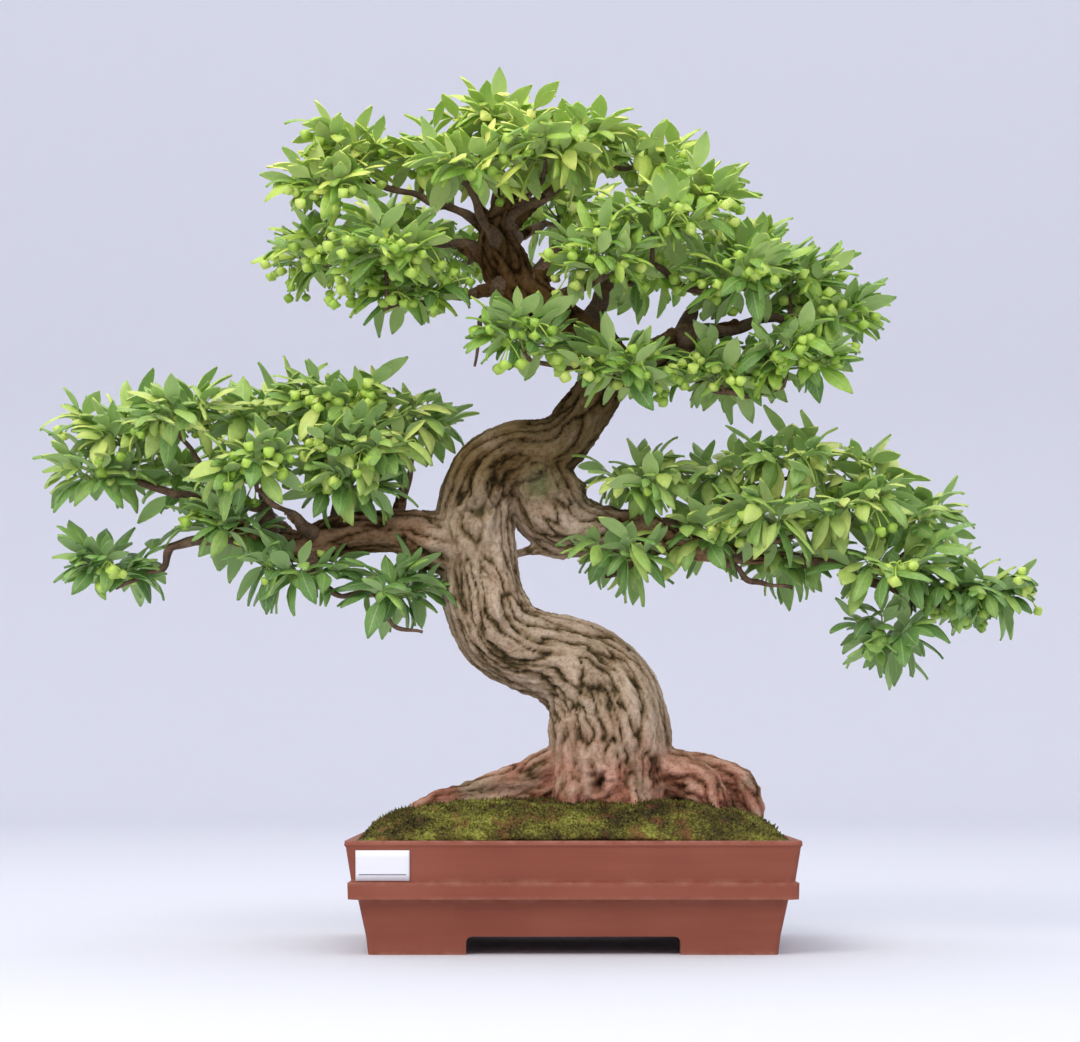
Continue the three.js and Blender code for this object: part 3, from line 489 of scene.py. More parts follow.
def barkShape(place):
    # Ridges run along the limb: the furrows are where a stretched noise, made ragged by two finer
    # ones, passes through zero, and short cracks cross the ridges. Returned as columns: the
    # furrows' noise, the cracks, the flecks and the height.
    bent = place + 6 * np.stack([noise(place / 40), noise(place / 40 + 9), noise(place / 50)], -1)
    across, along = wood["plate"], wood["plateLength"]
    wave = noise(bent / [across, across, along])
    wave = wave + 0.4 * noise(bent / [across * 0.5, across * 0.5, along * 0.4] + 40)
    wave = wave + 0.1 * noise(place / [3.2, 3.2, 7] + 60)
    furrow = 1 - smoothStep(0, wood["furrowWidth"], np.abs(wave))
    crack = 1 - smoothStep(0, 0.1, np.abs(noise(bent / [11, 11, 9] + 80)))
    flecks = noise(place / [2.6, 2.6, 8]) + 0.5 * noise(place / [1.7, 1.7, 5] + 20)
    grain = layered(place / [4.4, 4.4, 7.5], 4)
    swell = noise(place / [30, 30, 60] + 5)
    height = (-wood["furrowDepth"] * furrow - wood["crackDepth"] * crack
              + wood["ridgeHeight"] * np.minimum(np.abs(wave), 0.7) + wood["grain"] * grain
              + wood["fleckHeight"] * flecks + wood["swellHeight"] * swell)
    return np.stack([np.abs(wave), crack, flecks, height], -1)


def barkOver(points, limbs):
    # Every limb's bark is worked out on its own and mixed by exp(-2 outside / blend)
    placed = [limbPlace(points, limb, key) for key, limb in enumerate(limbs)]
    weights = np.exp(-2 * np.maximum([outside for outside, _ in placed], -4) / wood["blend"])
    weights /= weights.sum(axis=0)
    total, radial = np.zeros((len(points), 4)), np.zeros(len(points))
    for weight, (outside, place) in zip(weights, placed):
        some = weight > 0.03
        total[some] += weight[some, None] * barkShape(place[some])
        radial += weight * np.linalg.norm(place[:, :2], axis=1)
    return (*total.T, radial)


def buildWood():
    collars = []  # a branch is thick where it grew out of the wood
    for limb in [*crownBranches, *leftBranches, *rightBranches, *extraBranches]:
        a, b = np.array(limb[0]), np.array(limb[1])
        collars.append([a * [1, 1, 1, branch["footSwell"]], 0.6 * a + 0.4 * b,
                        b * [1, 1, 1, 0.75]])
    points, faces = gathered([sweep(limb, wood["step"], wood["sides"])
                              for limb in [*heavyLimbs, *collars]])
    body = makeObject("wood_trunk", points, faces)
    applyModifier(body, "REMESH", mode="VOXEL", voxel_size=wood["voxel"] * mm)
    applyModifier(body, "SMOOTH", factor=0.5, iterations=wood["smoothing"])
    body.data.polygons.foreach_set("use_smooth", np.ones(len(body.data.polygons), bool))
    points, normals = pointsOf(body), read(body.data.vertices, "normal", 3, float)
    wave, crack, flecks, height, radial = barkOver(points, heavyLimbs)
    x, z = points[:, 0], points[:, 2]
    lowest = smoothStep(*wood["rootHeights"], z)  # roots: finer, redder bark
    thick = smoothStep(6, 26, radial)  # young wood is smoother
    height = height * (0.25 + 0.75 * thick) * (1 - 0.35 * lowest)
    height += lowest * wood["lump"] * layered(points / [19, 14, 11])
    green, red = np.zeros(len(points)), np.zeros(len(points))
    ragged = points + 7 * np.stack([noise(points / 9 + k) for k in (0, 7, 13)], -1)
    for at, width, rimHeight, middleHeight, dark, algae, paste in trunkMarks:
        far = np.linalg.norm(ragged - np.array(at), axis=1) / width
        rim = np.exp(-((far - 1) / 0.28) ** 2)
        middle = 1 - smoothStep(0.35, 0.95, far)
        height = height * (1 - 0.5 * middle) + rimHeight * rim + middleHeight * middle
        wave = wave * (1 - dark * middle) + 0.25 * rim
        green = np.maximum(green, algae * (middle + 0.4 * rim))
        red = np.maximum(red, paste * middle)
    low, high = wood["limbHeights"]
    beside = np.maximum(smoothStep(*wood["leftLimbPlaces"], x),
                        smoothStep(*wood["rightLimbPlaces"], x))
    young = np.maximum(np.where((z > low) & (z < high), beside, 0),
                       smoothStep(*wood["leaderHeights"], z))
    setPoints(body, points + normals * height[:, None])
    for name, values in (("barkWave", wave), ("flecks", flecks), ("root", lowest),
                         ("scar", np.clip(green, 0, 1)), ("paste", np.clip(red, 0, 1)),
                         ("crack", crack), ("young", young),
                         ("bend", smoothStep(*wood["bendHeights"], z) * thick)):
        setValues(body, name, values)
    return body


def buildBranches(twigs):
    # Thin branches are circles carried along their curves, a little knobbly, and so are the twigs
    limbs = [*crownBranches, *leftBranches, *rightBranches, *extraBranches, rightLimb[7:],
             leftLimb[6:]]
    parts = [sweep([(*p[:3], p[3] * branch["thickness"]) for p in limb], branch["step"],
                   branch["sides"], branch["knobbly"], 3.1 * k, branch["wander"],
                   branch["collar"]) for k, limb in enumerate(limbs)]
    parts += [sweep(twig, branch["step"], branch["twigSides"], branch["twigKnobbly"], 50 + k)
              for k, twig in enumerate(twigs)]
    return makeObject("branches", *gathered(parts))


# Green growth: middles of the leafy clusters in millimetres

crownClusters = [
    (1, -71, -10, 812), (2, 4, -30, 802), (3, -141, 20, 792), (4, -222, -22, 772),
    (5, 69, 10, 762), (6, -26, -70, 757), (7, 129, -30, 732), (8, -101, -80, 742),
    (9, -241, -50, 717), (10, -251, 20, 662), (11, -181, -90, 672), (12, -171, -30, 622),
    (13, 174, 40, 692), (14, 219, -20, 662), (15, 266, 8, 600), (16, 169, -70, 622),
    (17, 79, -90, 692), (18, 29, -110, 642), (19, -51, -90, 562), (20, 49, -80, 542),
    (21, 149, -30, 532), (22, 219, -60, 572), (23, -121, 110, 682), (24, -11, 120, 732),
    (25, 89, 110, 662), (26, -191, 90, 712),
]
leftClusters = [
    (31, -451, 0, 512), (32, -386, -50, 512), (33, -316, 0, 527), (34, -241, -30, 527),
    (35, -161, 10, 502), (36, -471, -10, 437), (37, -391, 60, 442), (38, -311, -70, 452),
    (39, -221, -60, 462), (40, -461, -20, 357), (41, -341, -20, 382), (42, -271, -30, 342),
    (43, -171, -30, 342), (44, -190, -40, 462),
    (45, -222, -40, 436),
]
rightClusters = [
    (51, 69, -20, 442), (52, 149, 20, 462), (53, 219, -30, 462), (54, 289, 10, 452),
    (55, 189, -60, 402), (56, 279, -50, 402), (57, 349, 20, 412), (58, 49, -10, 357),
    (59, 309, -40, 342), (60, 379, -10, 352), (61, 419, 0, 312), (62, 309, -20, 282),
    (63, 219, 20, 352), (64, 129, 0, 372),
]
# lit: the heights over which a mass's leaves are painted lighter, painted light from above
masses = [
    {"label": "crown", "clusters": crownClusters, "droop": 0.0, "fruit": 0.4,
     "fruitful": (9, 10, 11, 12, 15, 16, 18, 20, 22), "lit": (560, 820)},
    {"label": "left", "clusters": leftClusters, "droop": 0.1, "fruit": 0.17,
     "fruitful": (38,), "lit": (320, 540)},
    {"label": "right", "clusters": rightClusters, "droop": 0.35, "fruit": 0.2,
     "fruitful": (61,), "lit": (260, 470)},
]

shoots = {
    "perCluster": {"crown": 12, "left": 11, "right": 10},
    "shortestTwig": 10, "twigShare": 0.75, "twigSag": 0.1, "upwardPull": 18,
    "stem": 6, "step": 0.6, "climb": 6, "reach": 34, "rise": 20, "radius": 1.3, "tipRadius": 0.8,
    "twigRadius": 2.6, "twigTaper": 0.8, "stemRadius": 1.5,
    "heights": (0.35, 0.1, 0.8, -0.2, 0.55, 0, -0.35, 0.7),
    "goldenAngle": 2.399963,
}
leaves = {
    "length": 40, "halfWidth": 7.6, "thickness": 0.5,
    "pairPlaces": (0.9, 0.66, 0.42, 1), "pairOpenings": (0.85, 1.05, 1.2, 0.25),
    "wave": 0.5, "edgeDrop": 1.5, "shoulder": 0.55, "midrib": 0.2,
    "turnStray": 1.5, "openingStray": 0.8, "rollStray": 1.5, "lengthStray": 0.6,
    "lift": 0.2, "leastSag": 0.35, "sagRange": 1.1,
}


def branchPlaces(limbs):  # eight places to each span of each branch
    return np.concatenate([curve(limb, (len(limb) - 1) * 8 + 1)[:, :3] for limb in limbs])


def bezier(a, b, c, t):  # (1-t)^2 a + 2t(1-t) b + t^2 c
    return (1 - t) ** 2 * a + 2 * t * (1 - t) * b + t ** 2 * c


def clusterFrame(cluster, places):
    # A twig leaves the nearest branch, rises to the foot of a green stem, and the stem's shoots
    # fan out round the cluster's middle
    number, centre = cluster[0], np.array(cluster[1:], float)
    nearest = places[np.argmin(np.linalg.norm(places - centre, axis=1))]
    away = centre - nearest
    reach = max(shoots["shortestTwig"],
                shoots["twigShare"] * np.linalg.norm(away) - shoots["stem"])
    away[2] += shoots["upwardPull"]
    foot = nearest + unit(away) * reach
    middle = (nearest + foot) / 2 - [0, 0, shoots["twigSag"] * reach]
    centre[2] = max(centre[2], foot[2] + shoots["stem"] + shoots["climb"])
    return {"number": number, "centre": centre, "branch": nearest, "middle": middle,
            "foot": foot, "direction": unit(foot - middle)}


def twigPath(spot):  # a Bezier curve in three points, and then the straight stem
    bent = [(*bezier(spot["branch"], spot["middle"], spot["foot"], t),
             shoots["twigRadius"] - shoots["twigTaper"] * t) for t in (0, 0.5, 1)]
    end = spot["foot"] + spot["direction"] * (shoots["stem"] + 0.5)
    return [*bent, (*end, shoots["stemRadius"])]


def shootCurve(spot, j):
    # From its place on the stem out, and then up to a tip on a flat ellipsoid round the middle.
    # Shoots past the listed heights stray further.
    number = spot["number"]
    azimuth = shoots["goldenAngle"] * j + 2 * np.pi * scatter(number, 1)
    start = spot["foot"] + spot["direction"] * (shoots["stem"] - shoots["step"] * j)
    if j < len(shoots["heights"]):
        height = shoots["heights"][j]
        flat = math.sqrt(1 - height ** 2) * (0.85 + 0.3 * scatter(number, 10 + j))
    else:
        azimuth += 2 * scatter(number, 950 + j)
        height = 2.1 * scatter(number, 960 + j) - 0.8
        flat = 0.5 + 1.1 * scatter(number, 970 + j)
    out = shoots["reach"] * flat
    tip = spot["centre"] + [out * np.cos(azimuth), out * np.sin(azimuth), shoots["rise"] * height]
    bend = start + (tip - start) * [0.6, 0.6, 0.25]
    return start, bend, tip


def leafFrames(spot, j, shoot, droop):
    # Three pairs and an end leaf on one shoot. Each pair stands across the last, and a leaf opens
    # from the shoot by its own angle, then lifts a little or droops.
    pair = np.array([-1, 0, 0, 1, 1, 2, 2])
    hand = np.array([0, 0, 1, 0, 1, 0, 1])
    key = 100 + 20 * j + 2 * pair + hand
    random = [scatter(spot["number"] + 70 * n, key) for n in range(8)]
    place = np.array(leaves["pairPlaces"])[pair]
    root = bezier(*shoot, place[:, None])
    tangent = unit(root - bezier(*shoot, place[:, None] - 0.04))
    up = np.array([[0, 0, 1.0]])
    flat = unit(np.cross(up, tangent))
    lift = np.cross(tangent, flat)
    turn = (pair * np.pi / 2 + hand * np.pi + leaves["turnStray"] * (random[1] - 0.5)
            + 2 * np.pi * scatter(spot["number"], 40 + j))[:, None]
    radial = flat * np.cos(turn) + lift * np.sin(turn)
    opening = (np.array(leaves["pairOpenings"])[pair]
               + leaves["openingStray"] * (random[2] - 0.5))[:, None]
    direction = tangent * np.cos(opening) + radial * np.sin(opening)
    direction[:, 2] += leaves["lift"] - droop
    direction = unit(direction)
    normal = up + 0.15 * radial
    normal = unit(normal - dot(normal, direction) * direction)
    roll = (leaves["rollStray"] * (random[3] - 0.5))[:, None]
    normal = normal * np.cos(roll) + np.cross(direction, normal) * np.sin(roll)
    length = leaves["length"] * (1 + leaves["lengthStray"] * (random[4] - 0.5))
    length = length * np.where(pair < 0, 0.9, 1)
    return {"root": root, "direction": direction, "normal": normal, "length": length,
            "sag": leaves["leastSag"] + leaves["sagRange"] * random[5], "tone": random[6],
            "phase": 2 * np.pi * random[7]}


def leafShapes(grown):
    # A leaf's midrib is an arc that turns down by the sag over its length. Its half width is
    # w sin(pi s^0.9)^0.85 over a short stalk. Each section has two edges that turn down, two raised
    # shoulders half-way to them, the sunk midrib and the keel below it.
    t = np.array([0.02, 0.1, 0.2, 0.34, 0.5, 0.68, 0.85, 0.985])
    s = np.clip((t - 0.07) / 0.93, 0.004, 1)
    half = leaves["halfWidth"] * np.sin(np.pi * s ** 0.9) ** 0.85
    half = np.maximum(half, 0.55)
    scale = grown["length"][:, None] / leaves["length"]
    sag, length = grown["sag"][:, None], grown["length"][:, None]
    ahead = length * np.sin(sag * t) / sag
    down = length * (1 - np.cos(sag * t)) / sag
    root, direction, normal = (grown[k][:, None] for k in ("root", "direction", "normal"))
    side = np.cross(normal, direction)
    midrib = root + direction * ahead[..., None] - normal * down[..., None]
    over = normal * np.cos(sag * t)[..., None] + direction * np.sin(sag * t)[..., None]
    wave = leaves["wave"] * np.sin(9 * t + grown["phase"][:, None])
    acrossShare = np.array([1, 0.5, 0, -0.5, -1, 0])
    blade = smoothStep(0.05, 0.2, t)
    edge, shoulder = -leaves["edgeDrop"] * blade, leaves["shoulder"] * blade
    lift = np.stack([edge, shoulder, leaves["midrib"] + 0 * t, shoulder, edge,
                     -leaves["thickness"] + 0 * t], -1)[None]
    sway = wave[..., None] * np.array([1, 0.3, 0, 0.3, -1, 0]) * (blade[:, None])
    points = (midrib[:, :, None]
              + side[:, :, None] * (scale[..., None] * half[:, None] * acrossShare)[..., None]
              + over[:, :, None] * (lift + sway)[..., None])
    v = np.broadcast_to(t[:, None], (len(t), 6))
    u = np.broadcast_to(acrossShare, (len(t), 6))
    return points, np.stack([u * 0.5 + 0.5, v], -1).reshape(-1, 2)


def stalkTubes(paths, radii, sides=5):
    # Thin stalks, all of one number of points: paths is (stalks, points, 3)
    tangent = unit(np.gradient(paths, axis=1))
    axis = np.where(np.abs(tangent[:, :1, 1:2]) < 0.8, [[[0, 1.0, 0]]], [[[1.0, 0, 0]]])
    across = unit(axis - dot(axis, tangent) * tangent)
    side = np.cross(tangent, across)
    angle = 2 * np.pi * np.arange(sides) / sides
    turned = allRound(across, side, angle)
    return tubes(paths[:, :, None] + turned * np.asarray(radii)[..., None, None])


fruits = {
    "lobe": 5.7, "lobeDepth": 0.22, "length": 10.5, "stalk": 0.7,
    "place": 0.55, "reach": 16, "fall": 6, "spread": 9, "drop": 13,
    "modelled": {1: 0, 7: 0, 10: 1, 15: 0, 19: 0, 38: 0, 61: 0},  # cluster: its shoot with a bunch
}


def capsules(tops, downs, turns, sizes):
    # A capsule is turned on its own axis: radius f(s) (1 + depth cos 4a) at depth s, so that it
    # has four lobes, and ends below in a small point
    s = np.array([0, 0.11, 0.34, 0.62, 0.86, 1.0])
    f = np.array([0.16, 0.6, 0.97, 0.97, 0.55, 0.12])
    angle = 2 * np.pi * np.arange(8) / 8
    lobes = 1 + fruits["lobeDepth"] * np.cos(4 * angle) * np.sin(np.pi * s[:, None]) ** 0.5
    radius = fruits["lobe"] * f[:, None] * lobes
    across = unit(np.cross(downs, [[0.3, 1, 0.1]]))
    side = np.cross(downs, across)
    turned = allRound(across, side, angle[None] + turns[:, None])
    size = sizes[:, None, None, None]
    return tubes(tops[:, None, None] + downs[:, None, None] * size
                 * (fruits["length"] * s)[None, :, None, None]
                 + turned[:, None] * radius[None, ..., None] * size)


def bunchParts(spot, j, shoot, count, varied):
    # A thin stalk leaves the shoot sideways, forks, and each branch ends in a capsule. The varied
    # bunches start anywhere on their shoot, and their stalks reach, fall or rise as they like.
    number = spot["number"]
    stray = [varied * scatter(number, 1000 + 20 * n + j) for n in range(5)]
    beside = shoots["radius"] + 1.1
    out = shoot[2] - shoot[0]
    out[2] = 0
    out = unit(out) + varied * np.array([stray[3] - 0.5, stray[4] - 0.5, 0]) * 1.6
    place = fruits["place"] + 0.4 * stray[0]
    start = bezier(*shoot, place) + out * beside - [0, 0, beside]
    fork = start + out * fruits["reach"] * (1 - 0.6 * stray[1])
    fork[2] = start[2] - fruits["fall"] + 24 * stray[2]
    k = np.arange(count)
    key = 10 * j + k
    angle = 2 * np.pi * (k + 0.6 * scatter(number, 300 + key)) / min(count, 3)
    spread = fruits["spread"] + 3 * scatter(number, 400 + key) + 3 * (k > 2)
    drop = fruits["drop"] + 9 * scatter(number, 500 + key) - varied * 24 * scatter(number, 560 + key)
    tops = fork + np.stack([spread * np.cos(angle), spread * np.sin(angle), -drop], -1)
    leave = fork + (start - fork) * (0.2 * np.minimum(k, 4))[:, None]
    hip = (leave + tops) / 2 + [0, 0, 3]
    t = np.linspace(0, 1, 5)[:, None]
    paths = bezier(leave[:, None], hip[:, None], tops[:, None], t)
    stem = (start + (fork - start) * t)[None]
    tilt = 0.25 + 0.6 * varied * scatter(number, 640 + key)
    downs = unit(np.stack([tilt * np.cos(angle), tilt * np.sin(angle), -np.ones(count)], -1))
    radii = np.full((count, 5), fruits["stalk"])
    radii[:, -1] *= 1.5
    return (stalkTubes(paths, radii), stalkTubes(stem, np.full((1, 5), fruits["stalk"] * 1.15)),
            capsules(tops, downs, 2 * np.pi * scatter(number, 600 + key),
                     0.8 + 0.3 * scatter(number, 700 + key)))


# No leaf or capsule reaches more than this past the solids' box, in millimetres
leafSlack = np.array([12.0, 7.0, 12.0])
leafLow = (np.array(cadBox[0]) - potMiddle) / mm - leafSlack
leafHigh = (np.array(cadBox[1]) - potMiddle) / mm + leafSlack


def leafyPiece(name, groups, lit):
    # Leaves and shoots of one spray as one mesh, with each leaf's own tone and its place on the
    # blade (u across and v along) for the veins. Leaves higher up in their mass are painted
    # lighter, painted light from above that is mixed into the tone.
    parts, uvs, tones, stems, keels = [], [], [], [], []
    for spot, j, shoot, droop in groups:
        grown = leafFrames(spot, j, shoot, droop)
        points, uv = leafShapes(grown)
        kept = np.all((points > leafLow) & (points < leafHigh), axis=(1, 2, 3))
        points, tone = points[kept], grown["tone"][kept]
        parts.append(tubes(points))
        ends = np.array([[0.5, 0.0], [0.5, 1.0]])
        count, size = len(points), len(uv) + 2
        uvs.append(np.tile(np.vstack([uv, ends]), (count, 1)))
        # leaves higher in their mass are painted lighter: painted light from above, mixed into each
        # leaf's own random tone
        high = smoothStep(*lit, points[:, 4, 2, 2])
        tones.append(np.repeat(0.55 * tone + 0.45 * high, size))
        stems.append(np.zeros(count * size))
        keels.append(np.tile(np.arange(size) % 6 == 5, count))
        t = np.linspace(0, 1, 5)[:, None]
        radii = np.linspace(shoots["radius"], shoots["tipRadius"], 5)[None]
        stem = stalkTubes(bezier(*shoot, t)[None], radii)
        parts.append(stem)
        uvs.append(np.full((len(stem[0]), 2), 0.5))
        tones.append(np.full(len(stem[0]), 0.5))
        stems.append(np.ones(len(stem[0])))
        keels.append(np.zeros(len(stem[0]), bool))
    spray = makeObject(name, *gathered(parts))
    uv = np.concatenate(uvs)
    setUv(spray, uv)
    setValues(spray, "leafTone", np.concatenate(tones))
    setValues(spray, "stemShare", np.concatenate(stems))
    markUndersides(spray, np.concatenate(keels))
    markRims(spray, uv)
    return spray


def markUndersides(spray, keels):  # faces with a point on the keel
    corners = read(spray.data.loops, "vertex_index")
    starts = read(spray.data.polygons, "loop_start")
    under = np.maximum.reduceat(keels[corners].astype(float), starts)
    setValues(spray, "underside", under, "FACE")


def markRims(spray, uv):  # a leaf's edge is where both ends of a mesh edge lie at u = 0 or u = 1
    u = uv[read(spray.data.edges, "vertices", 2), 0]
    rim = ((u < 0.01) | (u > 0.99)).all(axis=1)
    layer = spray.data.attributes.new("sharp_edge", "BOOLEAN", "EDGE")
    layer.data.foreach_set("value", rim)


def fruitPiece(name, bunches):  # bunches of capsules and stalks as one mesh, each with its tone
    parts = [part for bunch in bunches for part in bunch]
    made = makeObject(name, *gathered(parts))
    tones = [np.full(len(part[0]), scatter(k, 900)) for k, part in enumerate(parts)]
    setValues(made, "fruitTone", np.concatenate(tones))
    return made


def buildGrowth():
    made = {"leaves": {}, "fruit": [], "twigs": []}
    mainPlaces, allPlaces = branchPlaces(mainCarriers), branchPlaces(carriers)
    for mass in masses:
        bunches, replaced, pieces = [], [], []
        for cluster in mass["clusters"]:
            number = cluster[0]
            node = f"spray_{mass['label']}_{number:02d}"
            spot = clusterFrame(cluster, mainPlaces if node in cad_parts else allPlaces)
            made["twigs"].append(twigPath(spot))
            curves = [shootCurve(spot, j) for j in range(shoots["perCluster"][mass["label"]])]
            groups = [(spot, j, shoot, mass["droop"]) for j, shoot in enumerate(curves)]
            name = f"leaves_{mass['label']}_{number:02d}"
            pieces.append((leafyPiece(name, groups, mass["lit"]), node))
            for j, shoot in enumerate(curves):
                fixed = fruits["modelled"].get(number) == j
                chance = 0.8 if number in mass["fruitful"] else mass["fruit"]
                if fixed or scatter(number, 800 + j) < chance:
                    count = 3 if fixed else 2 + int(5 * scatter(number, 820 + j))
                    bunch = bunchParts(spot, j, shoot, count, 0 if fixed else 1)
                    reach = np.concatenate([part[0] for part in bunch])
                    if fixed or np.all((reach > leafLow) & (reach < leafHigh)):
                        bunches.append(bunch)
                if fixed:
                    replaced.append(f"fruit_bunch_{number:02d}")
        made["leaves"][mass["label"]] = pieces
        made["fruit"].append((fruitPiece("capsules_" + mass["label"], bunches), replaced))
    return made


# Moss: a mound over the soil

moss = {
    "halfLength": 202.6, "halfDepth": 137.6, "corner": 7,
    "step": 2.6, "thickness": 4.6,
    "edge": 103, "rise": 40, "reachX": 205, "reachY": 142, "lumps": 1.5,
    "cushion": 4.2, "tufts": 8800, "tuftHeight": 4.2, "tuftWidth": 1.0,
}


def moundHeight(x, y):
    # edge + rise (1 - |x/a|^4)^0.65 (1 - |y/b|^3.5)^0.75, with a few wide lumps
    along = np.maximum(0, 1 - np.abs(x / moss["reachX"]) ** 4) ** 0.65
    across = np.maximum(0, 1 - np.abs(y / moss["reachY"]) ** 3.5) ** 0.75
    return (moss["edge"] + moss["rise"] * along * across
            + moss["lumps"] * np.sin(x / 31 + 1) * np.cos(y / 27))


def mossSurface(x, y):  # cushions, 1 - |noise|, on the mound, with a fine pile on them
    p = np.stack([x, y, np.zeros_like(x)], -1)
    cushions = 1 - 2 * np.abs(noise(p / 19 + 3)) + 0.5 - np.abs(noise(p / 8 + 31))
    return moundHeight(x, y) + moss["cushion"] * (cushions - 1.2) + 1.1 * layered(p / 3.4)


def buildMoss():
    # The top is a height over a grid; the underside lies even below it; a row of faces joins them
    columns = int(2 * moss["halfLength"] / moss["step"]) + 1
    rows = int(2 * moss["halfDepth"] / moss["step"]) + 1
    x, y = np.meshgrid(np.linspace(-1, 1, columns) * moss["halfLength"],
                       np.linspace(-1, 1, rows) * moss["halfDepth"])
    inset = moss["corner"]
    overX = np.maximum(np.abs(x) - moss["halfLength"] + inset, 0)
    overY = np.maximum(np.abs(y) - moss["halfDepth"] + inset, 0)
    past = np.maximum(np.hypot(overX, overY), 1e-6)
    pull = np.minimum(1, np.maximum(overX, overY) / past)  # squares the corners' grid to an arc
    x = np.sign(x) * (np.abs(x) - overX * (1 - pull))
    y = np.sign(y) * (np.abs(y) - overY * (1 - pull))
    top = np.stack([x, y, mossSurface(x, y)], -1).reshape(-1, 3)
    bottom = np.stack([x, y, moundHeight(x, y) - moss["thickness"]], -1).reshape(-1, 3)
    top[:, 2] = np.maximum(top[:, 2], bottom[:, 2] + 1)
    skin = (np.concatenate([top, bottom]), slabFaces(rows, columns), np.empty((0, 3), int))
    return makeObject("moss_mound", *gathered([skin, mossTufts()]))


def mossTufts():  # little three-sided spikes that lean every way, their feet sunk in the mound
    i = np.arange(moss["tufts"])
    x = (2 * scatter(i, 3) - 1) * (moss["halfLength"] - 6)
    y = (2 * scatter(i, 4) - 1) * (moss["halfDepth"] - 6)
    foot = np.stack([x, y, mossSurface(x, y) - 1.2], -1)
    height = moss["tuftHeight"] * (0.5 + scatter(i, 5))
    lean = np.stack([scatter(i, 6) - 0.5, scatter(i, 7) - 0.5, np.ones(len(i))], -1)
    up = unit(lean)
    across = unit(np.cross(up, [[0.2, 1, 0.1]]))
    side = np.cross(up, across)
    angle = 2 * np.pi * (np.arange(3)[None] / 3 + scatter(i, 8)[:, None])
    turned = allRound(across, side, angle)
    width = np.array([1.0, 0.35])[None, :, None, None] * moss["tuftWidth"]
    rise = np.array([0.0, 0.8])[None, :, None, None] * height[:, None, None, None]
    return tubes(foot[:, None, None] + up[:, None, None] * rise + turned[:, None] * width)


# Pot

pot = {
    # height of each break in the wall and half of the pot's length there
    "profile": [(0, 191.5), (17, 193.5), (51, 200.5), (52, 209.5), (67, 210), (68, 206.5),
                (100, 211.5), (102, 213), (106, 212.5)],
    "depthLess": 65, "corner": 6, "top": 106,
    "floor": 26, "cavityBottom": (181, 118), "cavityTop": (203, 138), "cavityCorner": 7,
    "footHeight": 17, "footWall": 20, "frontGap": 100, "sideGap": 58, "gapCorner": 6,
    "drainX": 95, "drainRadius": 12,
    "bevel": 0.9, "wearReach": 4.0,
    # height, width and strength of the wear at the lip, the band's two edges and the feet
    "wear": [(106, 2.2, 1.0), (67.5, 1.6, 0.7), (51.5, 1.6, 0.55), (0, 3.0, 0.9)],
}


def roundedRectangle(halfX, halfY, radius, steps=8):  # arcs of a circle at the four corners
    angle = np.linspace(0, np.pi / 2, steps + 1)
    corners = [(1, 1, 0), (-1, 1, 1), (-1, -1, 2), (1, -1, 3)]
    return np.concatenate([
        np.stack([sx * (halfX - radius) + radius * np.cos(angle + k * np.pi / 2),
                  sy * (halfY - radius) + radius * np.sin(angle + k * np.pi / 2)], -1)
        for sx, sy, k in corners])


def stackedSolid(name, rings):  # outlines at given heights, joined and closed at both ends
    points = np.concatenate([np.column_stack([outline, np.full(len(outline), z)])
                             for z, outline in rings])
    sides = len(rings[0][1])
    faces = ringFaces(len(rings), sides).tolist()
    faces.append(list(range(sides))[::-1])
    faces.append(list(range((len(rings) - 1) * sides, len(rings) * sides)))
    return makeObject(name, points, faces)


def cutBy(piece, *cutters):
    for cutter in cutters:
        applyModifier(piece, "BOOLEAN", operation="DIFFERENCE", object=cutter, solver="EXACT")
        bpy.data.objects.remove(cutter)


def slotCutter(halfWidth, turned):  # the gap between two feet, round at its upper corners
    r = pot["gapCorner"]
    angle = np.linspace(0, np.pi / 2, 7)
    right = np.stack([halfWidth - r + r * np.cos(angle), pot["footHeight"] - r + r * np.sin(angle)], -1)
    left = right[::-1] * [-1, 1]
    outline = np.concatenate([[[halfWidth, -2]], right, left, [[-halfWidth, -2]]])
    ends = []
    for y in (300, -300):
        a, z = outline.T
        ends.append(np.stack([-np.full(len(a), y) if turned else a,
                              a if turned else np.full(len(a), y), z], -1))
    faces = ringFaces(2, len(outline)).tolist()
    faces.append(list(range(len(outline)))[::-1])
    faces.append(list(range(len(outline), 2 * len(outline))))
    return makeObject("cutter", np.concatenate(ends), faces)


